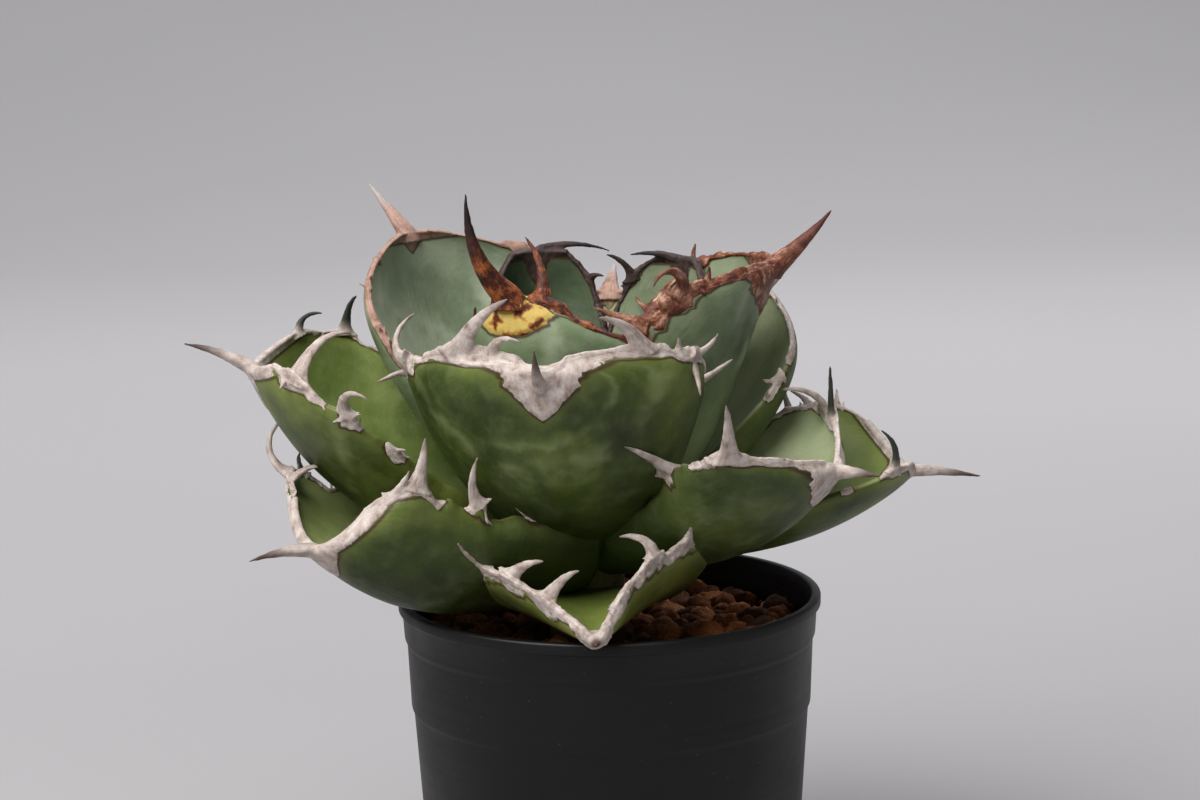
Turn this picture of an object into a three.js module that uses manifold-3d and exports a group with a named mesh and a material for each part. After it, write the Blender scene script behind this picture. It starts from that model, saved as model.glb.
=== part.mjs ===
// A potted thick-leaved agave: black plastic pot, gritty soil, short stem, cupped leaves with horny rims.
// Millimetres, +Z up. The origin is the centre of the pot's underside.
import * as THREE from "three";
import Module from "manifold-3d";

const wasm = await Module();
wasm.setup();

// Pot
const POT_HEIGHT = 68;
const RIM_RADIUS = 37.5;
const FOOT_RADIUS = 32;
const WALL = 1.1;
const LIP_HEIGHT = 2.2;
const LIP_OUT = 0.5;
const BAND_DEPTHS = [7.5, 20];
const BAND_STEP = 0.35;
const POT_SIDES = 30;
const DRAIN_COUNT = 6;
const DRAIN_RADIUS = 3.2;
const DRAIN_CIRCLE = 21;

// Soil and stem
const CLEARANCE = 0.3;
const SOIL_TOP = 60.5;
const GRAIN_COUNT = 38;
const GRAIN_RADII = [2.1, 3.5];
const GRAIN_CEILING = 63.4;
const STEM_RADIUS = 7;
const STEM_FOOT = 44;
const STEM_SHOULDER = 74;
const STEM_TOP = 85;
const STEM_TOP_RADIUS = 4;

// The plant stands a little to the left of the pot's own axis
const PLANT_AXIS = new THREE.Vector2(-4, 0);

// How finely the leaves are divided
const COLUMNS = [-1, -0.92, -0.7, -0.38, 0, 0.38, 0.7, 0.92, 1];
const BLADE_ROWS = 6;
const CAP_ROWS = 2;
const CAP_COLUMNS = [-0.38, 0, 0.38];
const STRIP_ROWS = 8;
const TOOTH_ROWS = 3;
const TOOTH_SIDES = 3;
const SPINE_ROWS = 4;
const SPINE_SIDES = 5;
const SECTION_STEPS = 12;

// Rim of horn round each leaf
const EDGE_THICKNESS = 1.0;
const HORN_GAP = 0.45;
const STRIP_WIDTH = 0.95;
const STRIP_DEPTH = 0.75;
const HORN_START = 0.32;
const TIP_SHARE = 0.1;
const SPINE_DROP = 1.6;
const SPINE_SUNK = 0.7;
const SPINE_ROOT = 2;
const POINT_RADIUS = 0.25;
const TOOTH_ROOT = 0.9;
const CAP_BAND = 0.02;
const CAP_SPAN = 0.38;
const CUT_GAP = 0.3;
const OWN_GAP = 0.15;

// Each leaf: azimuth in degrees (0 is +X, -90 is the front), midrib from base to tip as radius and height,
// rise of the midrib at its two ends, half width, place of the widest point, width at the base,
// fold of the two halves at base, middle and tip, and thickness. "left" is the left half for an eye that
// looks outward along the leaf. tipShare is the part of the half width that is left at the tip.
// Spine: length, base radius, elevation at start and end, swing at start and end, and how far below the tip
// it is rooted where that isn't SPINE_DROP.
// Teeth: side, place along the leaf, length, lean toward the tip, curl along the tooth, tilt inward,
// base radius, and the arch inward along the tooth where it has one.
const LEAVES = [
  {
    name: "centre_front", azimuth: -118, base: [3, 85], tip: [24, 124], rise: [50, 90], width: 25, widest: 0.62,
    root: 0.38, fold: [60, 70, 40], vee: 0.1, thick: 6, bend: -0.6, taper: 1.7, ogive: 0.85, rightWidth: 0.75,
    leftWidth: 0.96, patch: 0.17, spine: [20.5, 2.5, 40, 92, -36, -10],
    teeth: [
      ["left", 0.989, 13, -8, 61, 27, 1.1], ["left", 0.76, 4, 20, 30, 10, 0.9],
      ["right", 0.8, 5, 10, 30, 10, 1],
    ],
  },
  {
    name: "back_middle", azimuth: 110, base: [4, 86], tip: [24, 126], rise: [50, 95], width: 12.5, widest: 0.62,
    root: 0.38, fold: [50, 65, 40], vee: 0.1, thick: 5, taper: 2.4, ogive: 0.8, tipShare: 0.45,
    patch: 0.12, spine: [13, 1.3, 20, -22, -95, -112],
    teeth: [["right", 0.9, 4, 10, -60, 20, 0.9], ["left", 0.86, 4, 20, 30, 0, 0.8]],
  },
  {
    name: "back_right", azimuth: 44, base: [4, 86], tip: [25, 125], rise: [45, 92], width: 13, widest: 0.65,
    root: 0.38, fold: [50, 65, 40], vee: 0.1, thick: 5, taper: 2.4, ogive: 0.8, tipShare: 0.4,
    patch: 0.12, spine: [9, 1.2, 25, -12, 118, 136],
    teeth: [["left", 0.92, 7, 40, -70, 10, 0.9], ["right", 0.84, 4, 20, 30, 0, 0.8]],
  },
  {
    name: "centre_right", azimuth: -6, base: [4, 83], tip: [33, 127], rise: [38, 60], width: 25.5, widest: 0.7,
    root: 0.38, fold: [55, 78, 40], vee: 0.1, thick: 6, taper: 2.8, ogive: 0.8, rightWidth: 0.93,
    patch: 0.24, spine: [13.5, 2.4, 36, 52, 0, 0],
    teeth: [
      ["right", 0.841, 12, 73, -192, -3, 1.3, -27], ["right", 0.726, 10, -36, 12, 23, 1.2],
      ["right", 0.89, 4.5, 90, -100, 10, 1.3], ["left", 0.84, 4, 10, 30, 0, 0.9],
      ["left", 0.64, 4, 0, 40, 0, 0.9],
    ],
  },
  {
    name: "back_left", azimuth: 138, base: [5, 81], tip: [42, 129], rise: [38, 84], width: 28.5, widest: 0.62,
    root: 0.42, fold: [50, 66, 40], vee: 0.1, thick: 5.5, taper: 3.2, ogive: 0.75, tipShare: 0.12,
    leftFold: 0.78, leftWidth: 0.9, rightWidth: 1, patch: 0.1, spine: [12.5, 1.8, 44, 40, 0, 0],
    teeth: [
      ["left", 0.95, 3, 80, 40, 0, 0.8], ["left", 0.6, 3, 10, 30, 0, 0.8],
      ["right", 0.916, 7.7, -31, -168, 0, 1], ["right", 0.66, 4, 10, 40, 10, 0.8],
    ],
  },
  {
    name: "front", azimuth: -100, base: [5, 83.5], tip: [39, 115.3], rise: [16, 66], width: 30, widest: 0.66,
    root: 0.6, fold: [50, 58, 38], vee: 0.1, thick: 7, taper: 3, ogive: 0.6, tipShare: 0.12, leftFold: 1.25,
    leftWidth: 1.02, patch: 0.14, spine: [9, 1.7, 15, 85, 0, 0, 4.5],
    teeth: [
      ["right", 0.744, 6.4, -8, -84, -39, 0.9, -90], ["right", 0.825, 14.6, -47, 29, -19, 1.1, 105],
      ["right", 0.968, 17.2, 32, 38, -7, 1.9, 19], ["right", 0.993, 8.9, -6, 125, -8, 1.2, 15],
      ["left", 0.98, 7, -150, -35, -36, 1.2], ["left", 0.96, 11.5, 22, 60, 0, 1.9],
      ["left", 0.9, 3, 0, 30, 0, 1.1], ["left", 0.873, 7.3, -100, 108, 6, 1.2, -29],
      ["left", 0.869, 7.4, -152, -60, -40, 1],
      ["left", 0.56, 7, 20, 40, -30, 0.9],
    ],
  },
  {
    name: "right_back", azimuth: 36, base: [5, 80], tip: [39.3, 118.8], rise: [28, 78], width: 28, widest: 0.65,
    root: 0.38, fold: [50, 65, 40], vee: 0.1, thick: 6, taper: 2.4, ogive: 0.8, rightFold: 0.65,
    rightWidth: 0.93, patch: 0.12, spine: [11, 1.5, 30, 36, 0, 0],
    teeth: [
      ["right", 0.68, 4.1, -73, -150, 27, 1, 22], ["right", 0.78, 3, 10, 30, 0, 0.9],
      ["left", 0.8, 5, 10, 40, 0, 1], ["left", 0.6, 5, 0, 40, 0, 1],
    ],
  },
  {
    name: "left", azimuth: 184, base: [7, 77.5], tip: [57, 110.5], rise: [18, 62], width: 26, widest: 0.68,
    root: 0.38, fold: [45, 65, 45], vee: 0.3, thick: 6.5, taper: 3.6, ogive: 0.9, tipShare: 0.5, leftFold: 0.66,
    leftWidth: 0.96, rightWidth: 1.05, rightFold: 1.12, patch: 0.12, spine: [12.3, 1.6, 34, 10, 0, 0],
    teeth: [
      ["left", 0.952, 15.2, 0, 23, 32, 1.2, 102], ["left", 0.779, 10.8, 61, -131, 13, 1, -31],
      ["left", 0.982, 4.6, -65, -62, -22, 1, -45], ["left", 0.54, 2.5, 60, -120, 0, 0.8],
      ["right", 0.991, 6.6, 16, -142, 6, 1, 51], ["right", 0.899, 9.3, 7, 5, 10, 1, 75],
    ],
  },
  {
    name: "low_right", azimuth: -28, base: [6, 77], tip: [48, 95], rise: [6, 52], width: 27, widest: 0.78,
    root: 0.45, fold: [40, 70, 40], vee: 0.2, thick: 4.5, taper: 3.6, ogive: 0.8, leftWidth: 1.06,
    rightWidth: 0.93, patch: 0.16, spine: [7.2, 1.7, 2, -6, 0, 0],
    teeth: [
      ["right", 0.916, 11.6, -9, -10, -2, 1.8], ["right", 0.523, 11.5, 18, -19, -27, 1.4, -15],
      ["right", 0.14, 7, 62, 50, 8, 1.2], ["left", 0.924, 13.1, 29, -3, 38, 1.1, 99],
      ["left", 0.952, 10.8, 4, -11, 35, 1], ["left", 0.6, 5, 0, 30, 0, 1],
    ],
  },
  {
    name: "low_back", azimuth: 84, base: [7, 80], tip: [47, 114.7], rise: [14, 70], width: 27, widest: 0.7,
    root: 0.38, fold: [45, 64, 35], vee: 0.2, thick: 6, taper: 3, ogive: 0.85,
    patch: 0.12, spine: [12, 2, 25, 15, 0, 0],
    teeth: [
      ["left", 0.84, 6, 0, 40, 0, 1.2], ["left", 0.62, 7, 0, 30, 0, 1.2], ["right", 0.84, 6, 0, -40, 0, 1.2],
      ["right", 0.62, 7, 0, 30, 0, 1.2],
    ],
  },
  {
    name: "low_left", azimuth: 213, base: [6, 74.5], tip: [54, 84], rise: [-6, 40], width: 20.5, widest: 0.82,
    root: 0.8, fold: [50, 66, 66], vee: 0.3, thick: 6, taper: 3.4, ogive: 0.5, tipShare: 0.55, leftFold: 1.2,
    rightFold: 0.6, leftWidth: 1.1, rightWidth: 1.46, patch: 0.12, spine: [11.8, 1.6, 10, -12, 0, 0],
    teeth: [
      ["left", 0.985, 6, -64, 15, 5, 1.2], ["left", 0.94, 9, -18, 11, -2, 1.7],
      ["left", 0.526, 9.3, 47, -48, 2, 1.2, -15], ["left", 0.23, 4.4, 58, 12, 8, 1],
      ["right", 0.977, 12.3, 23, -120, -28, 1.2, 109],
      ["right", 0.993, 7.9, 70, -134, 57, 1.2, 80], ["right", 0.86, 5, 60, -90, 10, 1],
    ],
  },
  {
    name: "far_right", azimuth: 8, base: [7, 77.5], tip: [57.5, 88.5], rise: [2, 34], width: 24, widest: 0.78,
    root: 0.38, fold: [45, 62, 45], vee: 0.2, thick: 4.5, taper: 4, ogive: 0.85, tipShare: 0.6, leftFold: 1.2,
    rightFold: 0.6, patch: 0.1, spine: [13.5, 1.6, -4, -12, 0, 0],
    teeth: [
      ["left", 0.95, 3.5, -20, 0, 0, 0.9], ["left", 0.86, 4.5, -10, -50, 0, 0.9],
      ["left", 0.76, 4.5, 0, 20, 0, 1],
      ["right", 0.933, 9, 24, -105, 31, 0.9, 20], ["right", 0.5, 2.5, 0, 60, 0, 0.9],
    ],
  },
  {
    name: "low_back_left", azimuth: 134, base: [7, 75], tip: [56, 90], rise: [5, 55], width: 26, widest: 0.7,
    root: 0.38, fold: [45, 62, 35], vee: 0.2, thick: 6, taper: 3, ogive: 0.85,
    patch: 0.12, spine: [12, 2, 10, 0, 0, 0],
    teeth: [
      ["left", 0.84, 6, 0, 40, 0, 1.2], ["left", 0.62, 7, 0, 30, 0, 1.2], ["right", 0.84, 6, 0, -40, 0, 1.2],
      ["right", 0.62, 7, 0, 30, 0, 1.2],
    ],
  },
  {
    name: "low_front", azimuth: -88, base: [7, 70.3], tip: [43, 71], rise: [0, 8], width: 21, widest: 0.3,
    root: 0.8, fold: [5, 37, 52], vee: 0.6, thick: 4, taper: 1.3, ogive: 1, leftWidth: 1.1, rightWidth: 1.2,
    leftFold: 1.45, rightFold: 0.95, patch: 0.1, spine: [3, 1.8, 0, 0, 0, 0],
    teeth: [
      ["right", 0.529, 8.1, 5, -13, 3, 1.2, 22], ["right", 0.665, 9.4, 28, 55, 53, 1.5, -30],
      ["right", 0.831, 11.4, 12, 46, 57, 1.4, -30], ["left", 0.446, 8.1, 1, 9, 20, 1.1, 9],
      ["left", 0.654, 8.2, -61, 26, 23, 1.6, 118], ["left", 0.855, 3.4, 77, 40, -6, 1, 45],
    ],
  },
];

const BUD = { base: 84, shoulder: 92, tip: 108, radius: 5.2, spine: 9, spineRadius: 1.1 };

const COLOURS = {
  blade: { color: 0x4c6b3c, roughness: 0.5, metalness: 0 },
  horn: { color: 0xb7ada6, roughness: 0.6, metalness: 0 },
  pot: { color: 0x1c1c1d, roughness: 0.5, metalness: 0 },
  soil: { color: 0x5a3822, roughness: 0.95, metalness: 0 },
  stem: { color: 0x8a8460, roughness: 0.8, metalness: 0 },
};

const RADIAN = Math.PI / 180;
const plant = new THREE.Group();

// Repeatable draws, so that the soil looks the same each time
function seededDraw(seed) {
  let state = seed;
  return () => {
    state = (state * 1664525 + 1013904223) % 4294967296;
    return state / 4294967296;
  };
}

function solidOf(points, triangles) {
  const vertProperties = new Float32Array(points.flatMap((point) => [point.x, point.y, point.z]));
  const triVerts = new Uint32Array(triangles);
  const solid = new wasm.Manifold(new wasm.Mesh({ numProp: 3, vertProperties, triVerts }));
  if (solid.volume() < 0) {
    throw new Error("a solid is inside out");
  }
  return solid;
}

function largestBody(solid) {
  const bodies = solid.decompose();
  return bodies.reduce((best, body) => (body.volume() > best.volume() ? body : best));
}

function addSolid(name, solid, look) {
  const mesh = solid.getMesh();
  const geometry = new THREE.BufferGeometry();
  geometry.setAttribute("position", new THREE.BufferAttribute(mesh.vertProperties, 3));
  geometry.setIndex(new THREE.BufferAttribute(mesh.triVerts, 1));
  geometry.computeVertexNormals();
  const piece = new THREE.Mesh(geometry, new THREE.MeshStandardMaterial(look));
  piece.name = name;
  plant.add(piece);
}

// A closed sheet between two grids of points, both split along the same diagonals
function sheetSolid(upper, under) {
  const rows = upper.length;
  const columns = upper[0].length;
  const count = rows * columns;
  const points = [...upper.flat(), ...under.flat()];
  const triangles = [];
  const quad = (a, b, c, d) => triangles.push(a, b, c, a, c, d);
  for (let i = 0; i + 1 < rows; i++) {
    for (let j = 0; j + 1 < columns; j++) {
      const a = i * columns + j;
      const b = a + 1;
      const c = b + columns;
      const d = a + columns;
      triangles.push(a, c, b, a, d, c);
      triangles.push(count + a, count + b, count + c, count + a, count + c, count + d);
    }
  }
  for (let j = 0; j + 1 < columns; j++) {
    const last = (rows - 1) * columns + j;
    quad(j, j + 1, count + j + 1, count + j);
    quad(last + 1, last, count + last, count + last + 1);
  }
  for (let i = 0; i + 1 < rows; i++) {
    const first = i * columns;
    const last = first + columns - 1;
    quad(first + columns, first, count + first, count + first + columns);
    quad(last, last + columns, count + last + columns, count + last);
  }
  return solidOf(points, triangles);
}

// A closed tube through rings of points
function tubeSolid(rings) {
  const sides = rings[0].length;
  const triangles = [];
  for (let i = 0; i + 1 < rings.length; i++) {
    for (let j = 0; j < sides; j++) {
      const a = i * sides + j;
      const b = i * sides + ((j + 1) % sides);
      triangles.push(a, b, b + sides, a, b + sides, a + sides);
    }
  }
  const last = (rings.length - 1) * sides;
  for (let j = 1; j + 1 < sides; j++) {
    triangles.push(0, j + 1, j, last, last + j, last + j + 1);
  }
  return solidOf(rings.flat(), triangles);
}

// A value through base, middle and tip of a leaf
function through([atBase, atMiddle, atTip], t) {
  return atBase * (1 - t) * (1 - 2 * t) + 4 * atMiddle * t * (1 - t) + atTip * t * (2 * t - 1);
}

// On the midrib: the point, the way along it, the way to the leaf's left and the way off its upper face
function midribFrame(leaf, t) {
  const [baseRadius, baseHeight] = leaf.base;
  const [tipRadius, tipHeight] = leaf.tip;
  const reach = 0.4 * Math.hypot(tipRadius - baseRadius, tipHeight - baseHeight);
  const [riseStart, riseEnd] = leaf.rise.map((angle) => angle * RADIAN);
  const curve = new THREE.CubicBezierCurve(
    new THREE.Vector2(baseRadius, baseHeight),
    new THREE.Vector2(baseRadius + reach * Math.cos(riseStart), baseHeight + reach * Math.sin(riseStart)),
    new THREE.Vector2(tipRadius - reach * Math.cos(riseEnd), tipHeight - reach * Math.sin(riseEnd)),
    new THREE.Vector2(tipRadius, tipHeight),
  );
  const bend = leaf.bend ?? 0;
  const outward = new THREE.Vector3(Math.cos(leaf.azimuth * RADIAN), Math.sin(leaf.azimuth * RADIAN), 0);
  const leftward = new THREE.Vector3(-outward.y, outward.x, 0);
  const at = (s) => {
    const rib = curve.getPoint(s);
    return new THREE.Vector3(PLANT_AXIS.x, PLANT_AXIS.y, rib.y)
      .addScaledVector(outward, rib.x)
      .addScaledVector(leftward, bend * s * s);
  };
  const step = 1e-3;
  const along = at(t + step).sub(at(t - step)).normalize();
  const side = leftward.clone().addScaledVector(along, -along.dot(leftward)).normalize();
  const face = along.clone().cross(side);
  return { point: at(t), along, side, face };
}

function halfWidth(leaf, t) {
  const tipShare = leaf.tipShare ?? TIP_SHARE;
  if (t < leaf.widest) {
    const swell = Math.sin((Math.PI / 2) * Math.max(t, 0) / leaf.widest) ** 1.3;
    return leaf.width * (leaf.root + (1 - leaf.root) * swell);
  }
  const q = Math.min((t - leaf.widest) / (1 - leaf.widest), 1);
  return leaf.width * (tipShare + (1 - tipShare) * (1 - q ** leaf.taper) ** leaf.ogive);
}

// The leaf's point at t along it and u across it (-1 right edge, 1 left edge), and the upper face's normal
function leafPoint(leaf, t, u) {
  const { point, side, face } = midribFrame(leaf, t);
  const sign = u < 0 ? -1 : 1;
  const across = Math.abs(u);
  const foldShare = (u < 0 ? leaf.rightFold : leaf.leftFold) ?? 1;
  const widthShare = (u < 0 ? leaf.rightWidth : leaf.leftWidth) ?? 1;
  const fold = through(leaf.fold, t) * RADIAN * foldShare;
  const slope = (v) => fold * (leaf.vee * Math.tanh(6 * v) + (1 - leaf.vee) * v);
  const step = (across / SECTION_STEPS) * halfWidth(leaf, t) * widthShare;
  let sideways = 0;
  let upward = 0;
  for (let k = 0; k < SECTION_STEPS; k++) {
    const angle = slope(((k + 0.5) / SECTION_STEPS) * across);
    sideways += Math.cos(angle) * step;
    upward += Math.sin(angle) * step;
  }
  const edgeSlope = slope(across);
  const position = point.clone().addScaledVector(side, sign * sideways).addScaledVector(face, upward);
  const normal = face.clone()
    .multiplyScalar(Math.cos(edgeSlope))
    .addScaledVector(side, -sign * Math.sin(edgeSlope));
  return { position, normal };
}

function thicknessAt(leaf, t, u) {
  const along = leaf.thick * (0.12 + 0.88 * (1 - THREE.MathUtils.clamp(t, 0, 1) ** 1.6));
  return along * 0.85 * Math.sqrt(Math.max(1 - Math.abs(u) ** 2.5, 0)) + EDGE_THICKNESS;
}

// Where the green blade ends at the tip: a notch that the horny cap fills
function bladeEnd(leaf, u) {
  return 1 - CAP_BAND - leaf.patch * Math.max(0, 1 - Math.abs(u) / CAP_SPAN);
}

function leafGrid(leaf, columns, rowPlaces, startAt, endAt, grow) {
  const upper = [];
  const under = [];
  for (const place of rowPlaces) {
    const upperRow = [];
    const underRow = [];
    for (const u of columns) {
      const t = startAt(u) + (endAt(u) - startAt(u)) * place;
      const { position, normal } = leafPoint(leaf, t, u);
      if (Math.abs(u) === 1) {
        position.addScaledVector(edgeFrame(leaf, t, u).outward, grow);
      }
      upperRow.push(position.clone().addScaledVector(normal, grow));
      underRow.push(position.clone().addScaledVector(normal, -thicknessAt(leaf, t, u) - grow));
    }
    upper.push(upperRow);
    under.push(underRow);
  }
  return sheetSolid(upper, under);
}

// On the leaf's edge: the point in the middle of its thickness, and the ways to the tip, outward and inward
function edgeFrame(leaf, t, u) {
  const step = 4e-3;
  const from = Math.max(Math.min(t, 1 - step), step);
  const here = leafPoint(leaf, t, u);
  const behind = leafPoint(leaf, from - step, u).position;
  const toTip = leafPoint(leaf, from + step, u).position.sub(behind).normalize();
  const outward = toTip.clone().cross(here.normal).multiplyScalar(u < 0 ? 1 : -1).normalize();
  const point = here.position.addScaledVector(here.normal, -EDGE_THICKNESS / 2);
  return { point, toTip, outward, inward: here.normal };
}

function bladeSolid(leaf, grow) {
  const lengthwise = grow / 50;
  const places = Array.from({ length: BLADE_ROWS + 1 }, (_, i) => 1 - (1 - i / BLADE_ROWS) ** 1.35);
  return leafGrid(leaf, COLUMNS, places, () => -lengthwise, (u) => bladeEnd(leaf, u) + lengthwise, grow);
}

// The two horny strips, which meet at the tip
function stripSolid(leaf, sign, grow) {
  const rings = [];
  for (let i = 0; i <= STRIP_ROWS; i++) {
    const place = 1 - (1 - i / STRIP_ROWS) ** 1.5;
    const t = HORN_START + (1 - HORN_START) * place;
    const { point, outward, inward } = edgeFrame(leaf, t, sign);
    const swell = Math.min(1, 0.35 + 3 * place);
    const wide = STRIP_WIDTH * swell + grow;
    const deep = STRIP_DEPTH * swell + grow;
    const centre = point.addScaledVector(outward, HORN_GAP + STRIP_WIDTH * swell);
    rings.push(wedge(centre, outward, inward, wide, deep));
  }
  const { point, along, side, face } = midribFrame(leaf, 1);
  const meeting = point.addScaledVector(face, -EDGE_THICKNESS / 2)
    .addScaledVector(along, 1 + STRIP_WIDTH)
    .addScaledVector(side, -0.3 * sign);
  rings.push(wedge(meeting, along, face, STRIP_WIDTH + grow, STRIP_DEPTH + grow));
  if (sign < 0) {
    rings.forEach((ring) => ring.reverse());
  }
  return tubeSolid(rings);
}

// A three-cornered section, flat toward the blade
function wedge(centre, outward, inward, wide, deep) {
  return [
    centre.clone().addScaledVector(outward, wide),
    centre.clone().addScaledVector(outward, -wide).addScaledVector(inward, deep),
    centre.clone().addScaledVector(outward, -wide).addScaledVector(inward, -deep),
  ];
}

function capSolid(leaf, grow) {
  const gap = 0.008;
  const places = Array.from({ length: CAP_ROWS + 1 }, (_, i) => i / CAP_ROWS);
  return leafGrid(leaf, CAP_COLUMNS, places, (u) => bladeEnd(leaf, u) + gap - grow / 50, () => 1, grow);
}

// A tapered tube that follows a list of directions from its root
function hornTube(root, directions, length, radius, tipRadius, sides, grow) {
  const step = length / (directions.length - 1);
  const rings = [];
  const centre = root.clone();
  const guide = new THREE.Vector3(0.31, 0.17, 0.93).cross(directions[0]).normalize();
  directions.forEach((direction, i) => {
    const share = i / (directions.length - 1);
    if (i > 0) {
      centre.addScaledVector(directions[i - 1].clone().add(direction).normalize(), step);
    }
    const first = guide.clone().addScaledVector(direction, -guide.dot(direction)).normalize();
    const second = direction.clone().cross(first);
    const thick = tipRadius + (radius - tipRadius) * (1 - share) ** 0.85 + grow;
    rings.push(Array.from({ length: sides }, (_, k) => {
      const angle = (2 * Math.PI * k) / sides;
      return centre.clone()
        .addScaledVector(first, thick * Math.cos(angle))
        .addScaledVector(second, thick * Math.sin(angle));
    }));
  });
  return tubeSolid(rings);
}

function toothSolid(leaf, tooth, grow) {
  const [sideName, t, length, lean, curl, tilt, radius, arch = 0] = tooth;
  const sign = sideName === "left" ? 1 : -1;
  const { point, toTip, outward, inward } = edgeFrame(leaf, t, sign);
  const directions = [];
  for (let i = 0; i <= TOOTH_ROWS; i++) {
    const share = i / TOOTH_ROWS;
    const angle = (lean + curl * share) * RADIAN;
    const inwardTilt = (tilt + arch * share) * RADIAN;
    directions.push(outward.clone().multiplyScalar(Math.cos(angle) * Math.cos(inwardTilt))
      .addScaledVector(toTip, Math.sin(angle) * Math.cos(inwardTilt))
      .addScaledVector(inward, Math.sin(inwardTilt)));
  }
  const root = point.addScaledVector(outward, TOOTH_ROOT);
  return hornTube(root, directions, length, radius, POINT_RADIUS, TOOTH_SIDES, grow);
}

function spineSolid(leaf, grow) {
  const [length, radius, elevationStart, elevationEnd, swingStart, swingEnd, drop = SPINE_DROP] = leaf.spine;
  const { point, along, face } = midribFrame(leaf, 1);
  const directions = [along.clone()];
  for (let i = 0; i < SPINE_ROWS; i++) {
    const share = i / (SPINE_ROWS - 1);
    const elevation = (elevationStart + (elevationEnd - elevationStart) * share) * RADIAN;
    const azimuth = (leaf.azimuth + swingStart + (swingEnd - swingStart) * share) * RADIAN;
    directions.push(new THREE.Vector3(
      Math.cos(elevation) * Math.cos(azimuth),
      Math.cos(elevation) * Math.sin(azimuth),
      Math.sin(elevation),
    ));
  }
  const root = point.addScaledVector(along, -drop).addScaledVector(face, -SPINE_SUNK);
  return hornTube(root, directions, length + SPINE_ROOT, radius, POINT_RADIUS, SPINE_SIDES, grow);
}

function hornSolid(leaf, grow) {
  const pieces = [
    stripSolid(leaf, -1, grow),
    stripSolid(leaf, 1, grow),
    capSolid(leaf, grow),
    spineSolid(leaf, grow),
    ...leaf.teeth.map((tooth) => toothSolid(leaf, tooth, grow)),
  ];
  return pieces.reduce((whole, piece) => whole.add(piece));
}

function latheSolid(profile, sides, axis) {
  const rings = profile.slice(1, -1).map(([radius, height]) =>
    Array.from({ length: sides }, (_, k) => {
      const angle = (2 * Math.PI * k) / sides;
      return new THREE.Vector3(axis.x + radius * Math.cos(angle), axis.y + radius * Math.sin(angle), height);
    }));
  const foot = new THREE.Vector3(axis.x, axis.y, profile[0][1]);
  const top = new THREE.Vector3(axis.x, axis.y, profile.at(-1)[1]);
  const points = [...rings.flat(), foot, top];
  const footIndex = points.length - 2;
  const topIndex = points.length - 1;
  const triangles = [];
  for (let j = 0; j < sides; j++) {
    const next = (j + 1) % sides;
    triangles.push(footIndex, next, j);
    const last = (rings.length - 1) * sides;
    triangles.push(topIndex, last + j, last + next);
    for (let i = 0; i + 1 < rings.length; i++) {
      const a = i * sides + j;
      const b = i * sides + next;
      triangles.push(a, b, b + sides, a, b + sides, a + sides);
    }
  }
  return solidOf(points, triangles);
}

// Outer radius of the pot at a height, before its bands and lip
function potRadius(height) {
  return FOOT_RADIUS + (RIM_RADIUS - LIP_OUT - FOOT_RADIUS) * (height / POT_HEIGHT);
}

function potSolid() {
  const centre = new THREE.Vector2(0, 0);
  const outer = [[0, 0], [FOOT_RADIUS - 0.8, 0], [FOOT_RADIUS, 1]];
  for (const depth of [...BAND_DEPTHS].reverse()) {
    const height = POT_HEIGHT - depth;
    outer.push([potRadius(height - 0.4) - BAND_STEP, height - 0.4], [potRadius(height + 0.4), height + 0.4]);
  }
  const lipFoot = POT_HEIGHT - LIP_HEIGHT;
  outer.push([potRadius(lipFoot), lipFoot], [RIM_RADIUS, lipFoot + 0.5], [RIM_RADIUS, POT_HEIGHT - 0.4]);
  outer.push([RIM_RADIUS - 0.4, POT_HEIGHT]);
  const rimInner = RIM_RADIUS - LIP_OUT - WALL;
  const profile = [
    ...outer,
    [rimInner + 0.3, POT_HEIGHT],
    [rimInner, POT_HEIGHT - 0.5],
    [potRadius(lipFoot) - WALL - BAND_STEP, lipFoot],
    [FOOT_RADIUS - WALL - BAND_STEP, WALL + 0.6],
    [0, WALL + 0.3],
  ];
  let pot = latheSolid(profile, POT_SIDES, centre);
  for (let k = 0; k < DRAIN_COUNT; k++) {
    const angle = (2 * Math.PI * k) / DRAIN_COUNT + 0.3;
    const place = new THREE.Vector2(DRAIN_CIRCLE * Math.cos(angle), DRAIN_CIRCLE * Math.sin(angle));
    const drill = [[0, -2], [DRAIN_RADIUS, -2], [DRAIN_RADIUS, WALL + 3], [0, WALL + 3]];
    pot = pot.subtract(latheSolid(drill, 12, place));
  }
  return pot;
}

// Inner radius of the pot at a height
function potBore(height) {
  const lipFoot = POT_HEIGHT - LIP_HEIGHT;
  const share = (height - WALL - 0.6) / (lipFoot - WALL - 0.6);
  const bottom = FOOT_RADIUS - WALL - BAND_STEP;
  return bottom + (potRadius(lipFoot) - WALL - BAND_STEP - bottom) * share;
}

function grainSolid(centre, radius, draw) {
  const grain = new THREE.IcosahedronGeometry(1, 0);
  const corners = [];
  const triangles = [];
  const source = grain.getAttribute("position");
  const stretch = new THREE.Vector3(0.85 + 0.4 * draw(), 0.85 + 0.4 * draw(), 0.75 + 0.3 * draw());
  const turn = new THREE.Euler(draw() * 6, draw() * 6, draw() * 6);
  for (let i = 0; i < source.count; i++) {
    const corner = new THREE.Vector3().fromBufferAttribute(source, i);
    let index = corners.findIndex((other) => other.distanceTo(corner) < 1e-3);
    if (index < 0) {
      index = corners.length;
      corners.push(corner);
    }
    triangles.push(index);
  }
  const points = corners.map((corner) =>
    corner.clone().multiplyScalar(0.85 + 0.3 * draw()).multiply(stretch).applyEuler(turn)
      .multiplyScalar(radius).add(centre));
  return solidOf(points, triangles);
}

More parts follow.
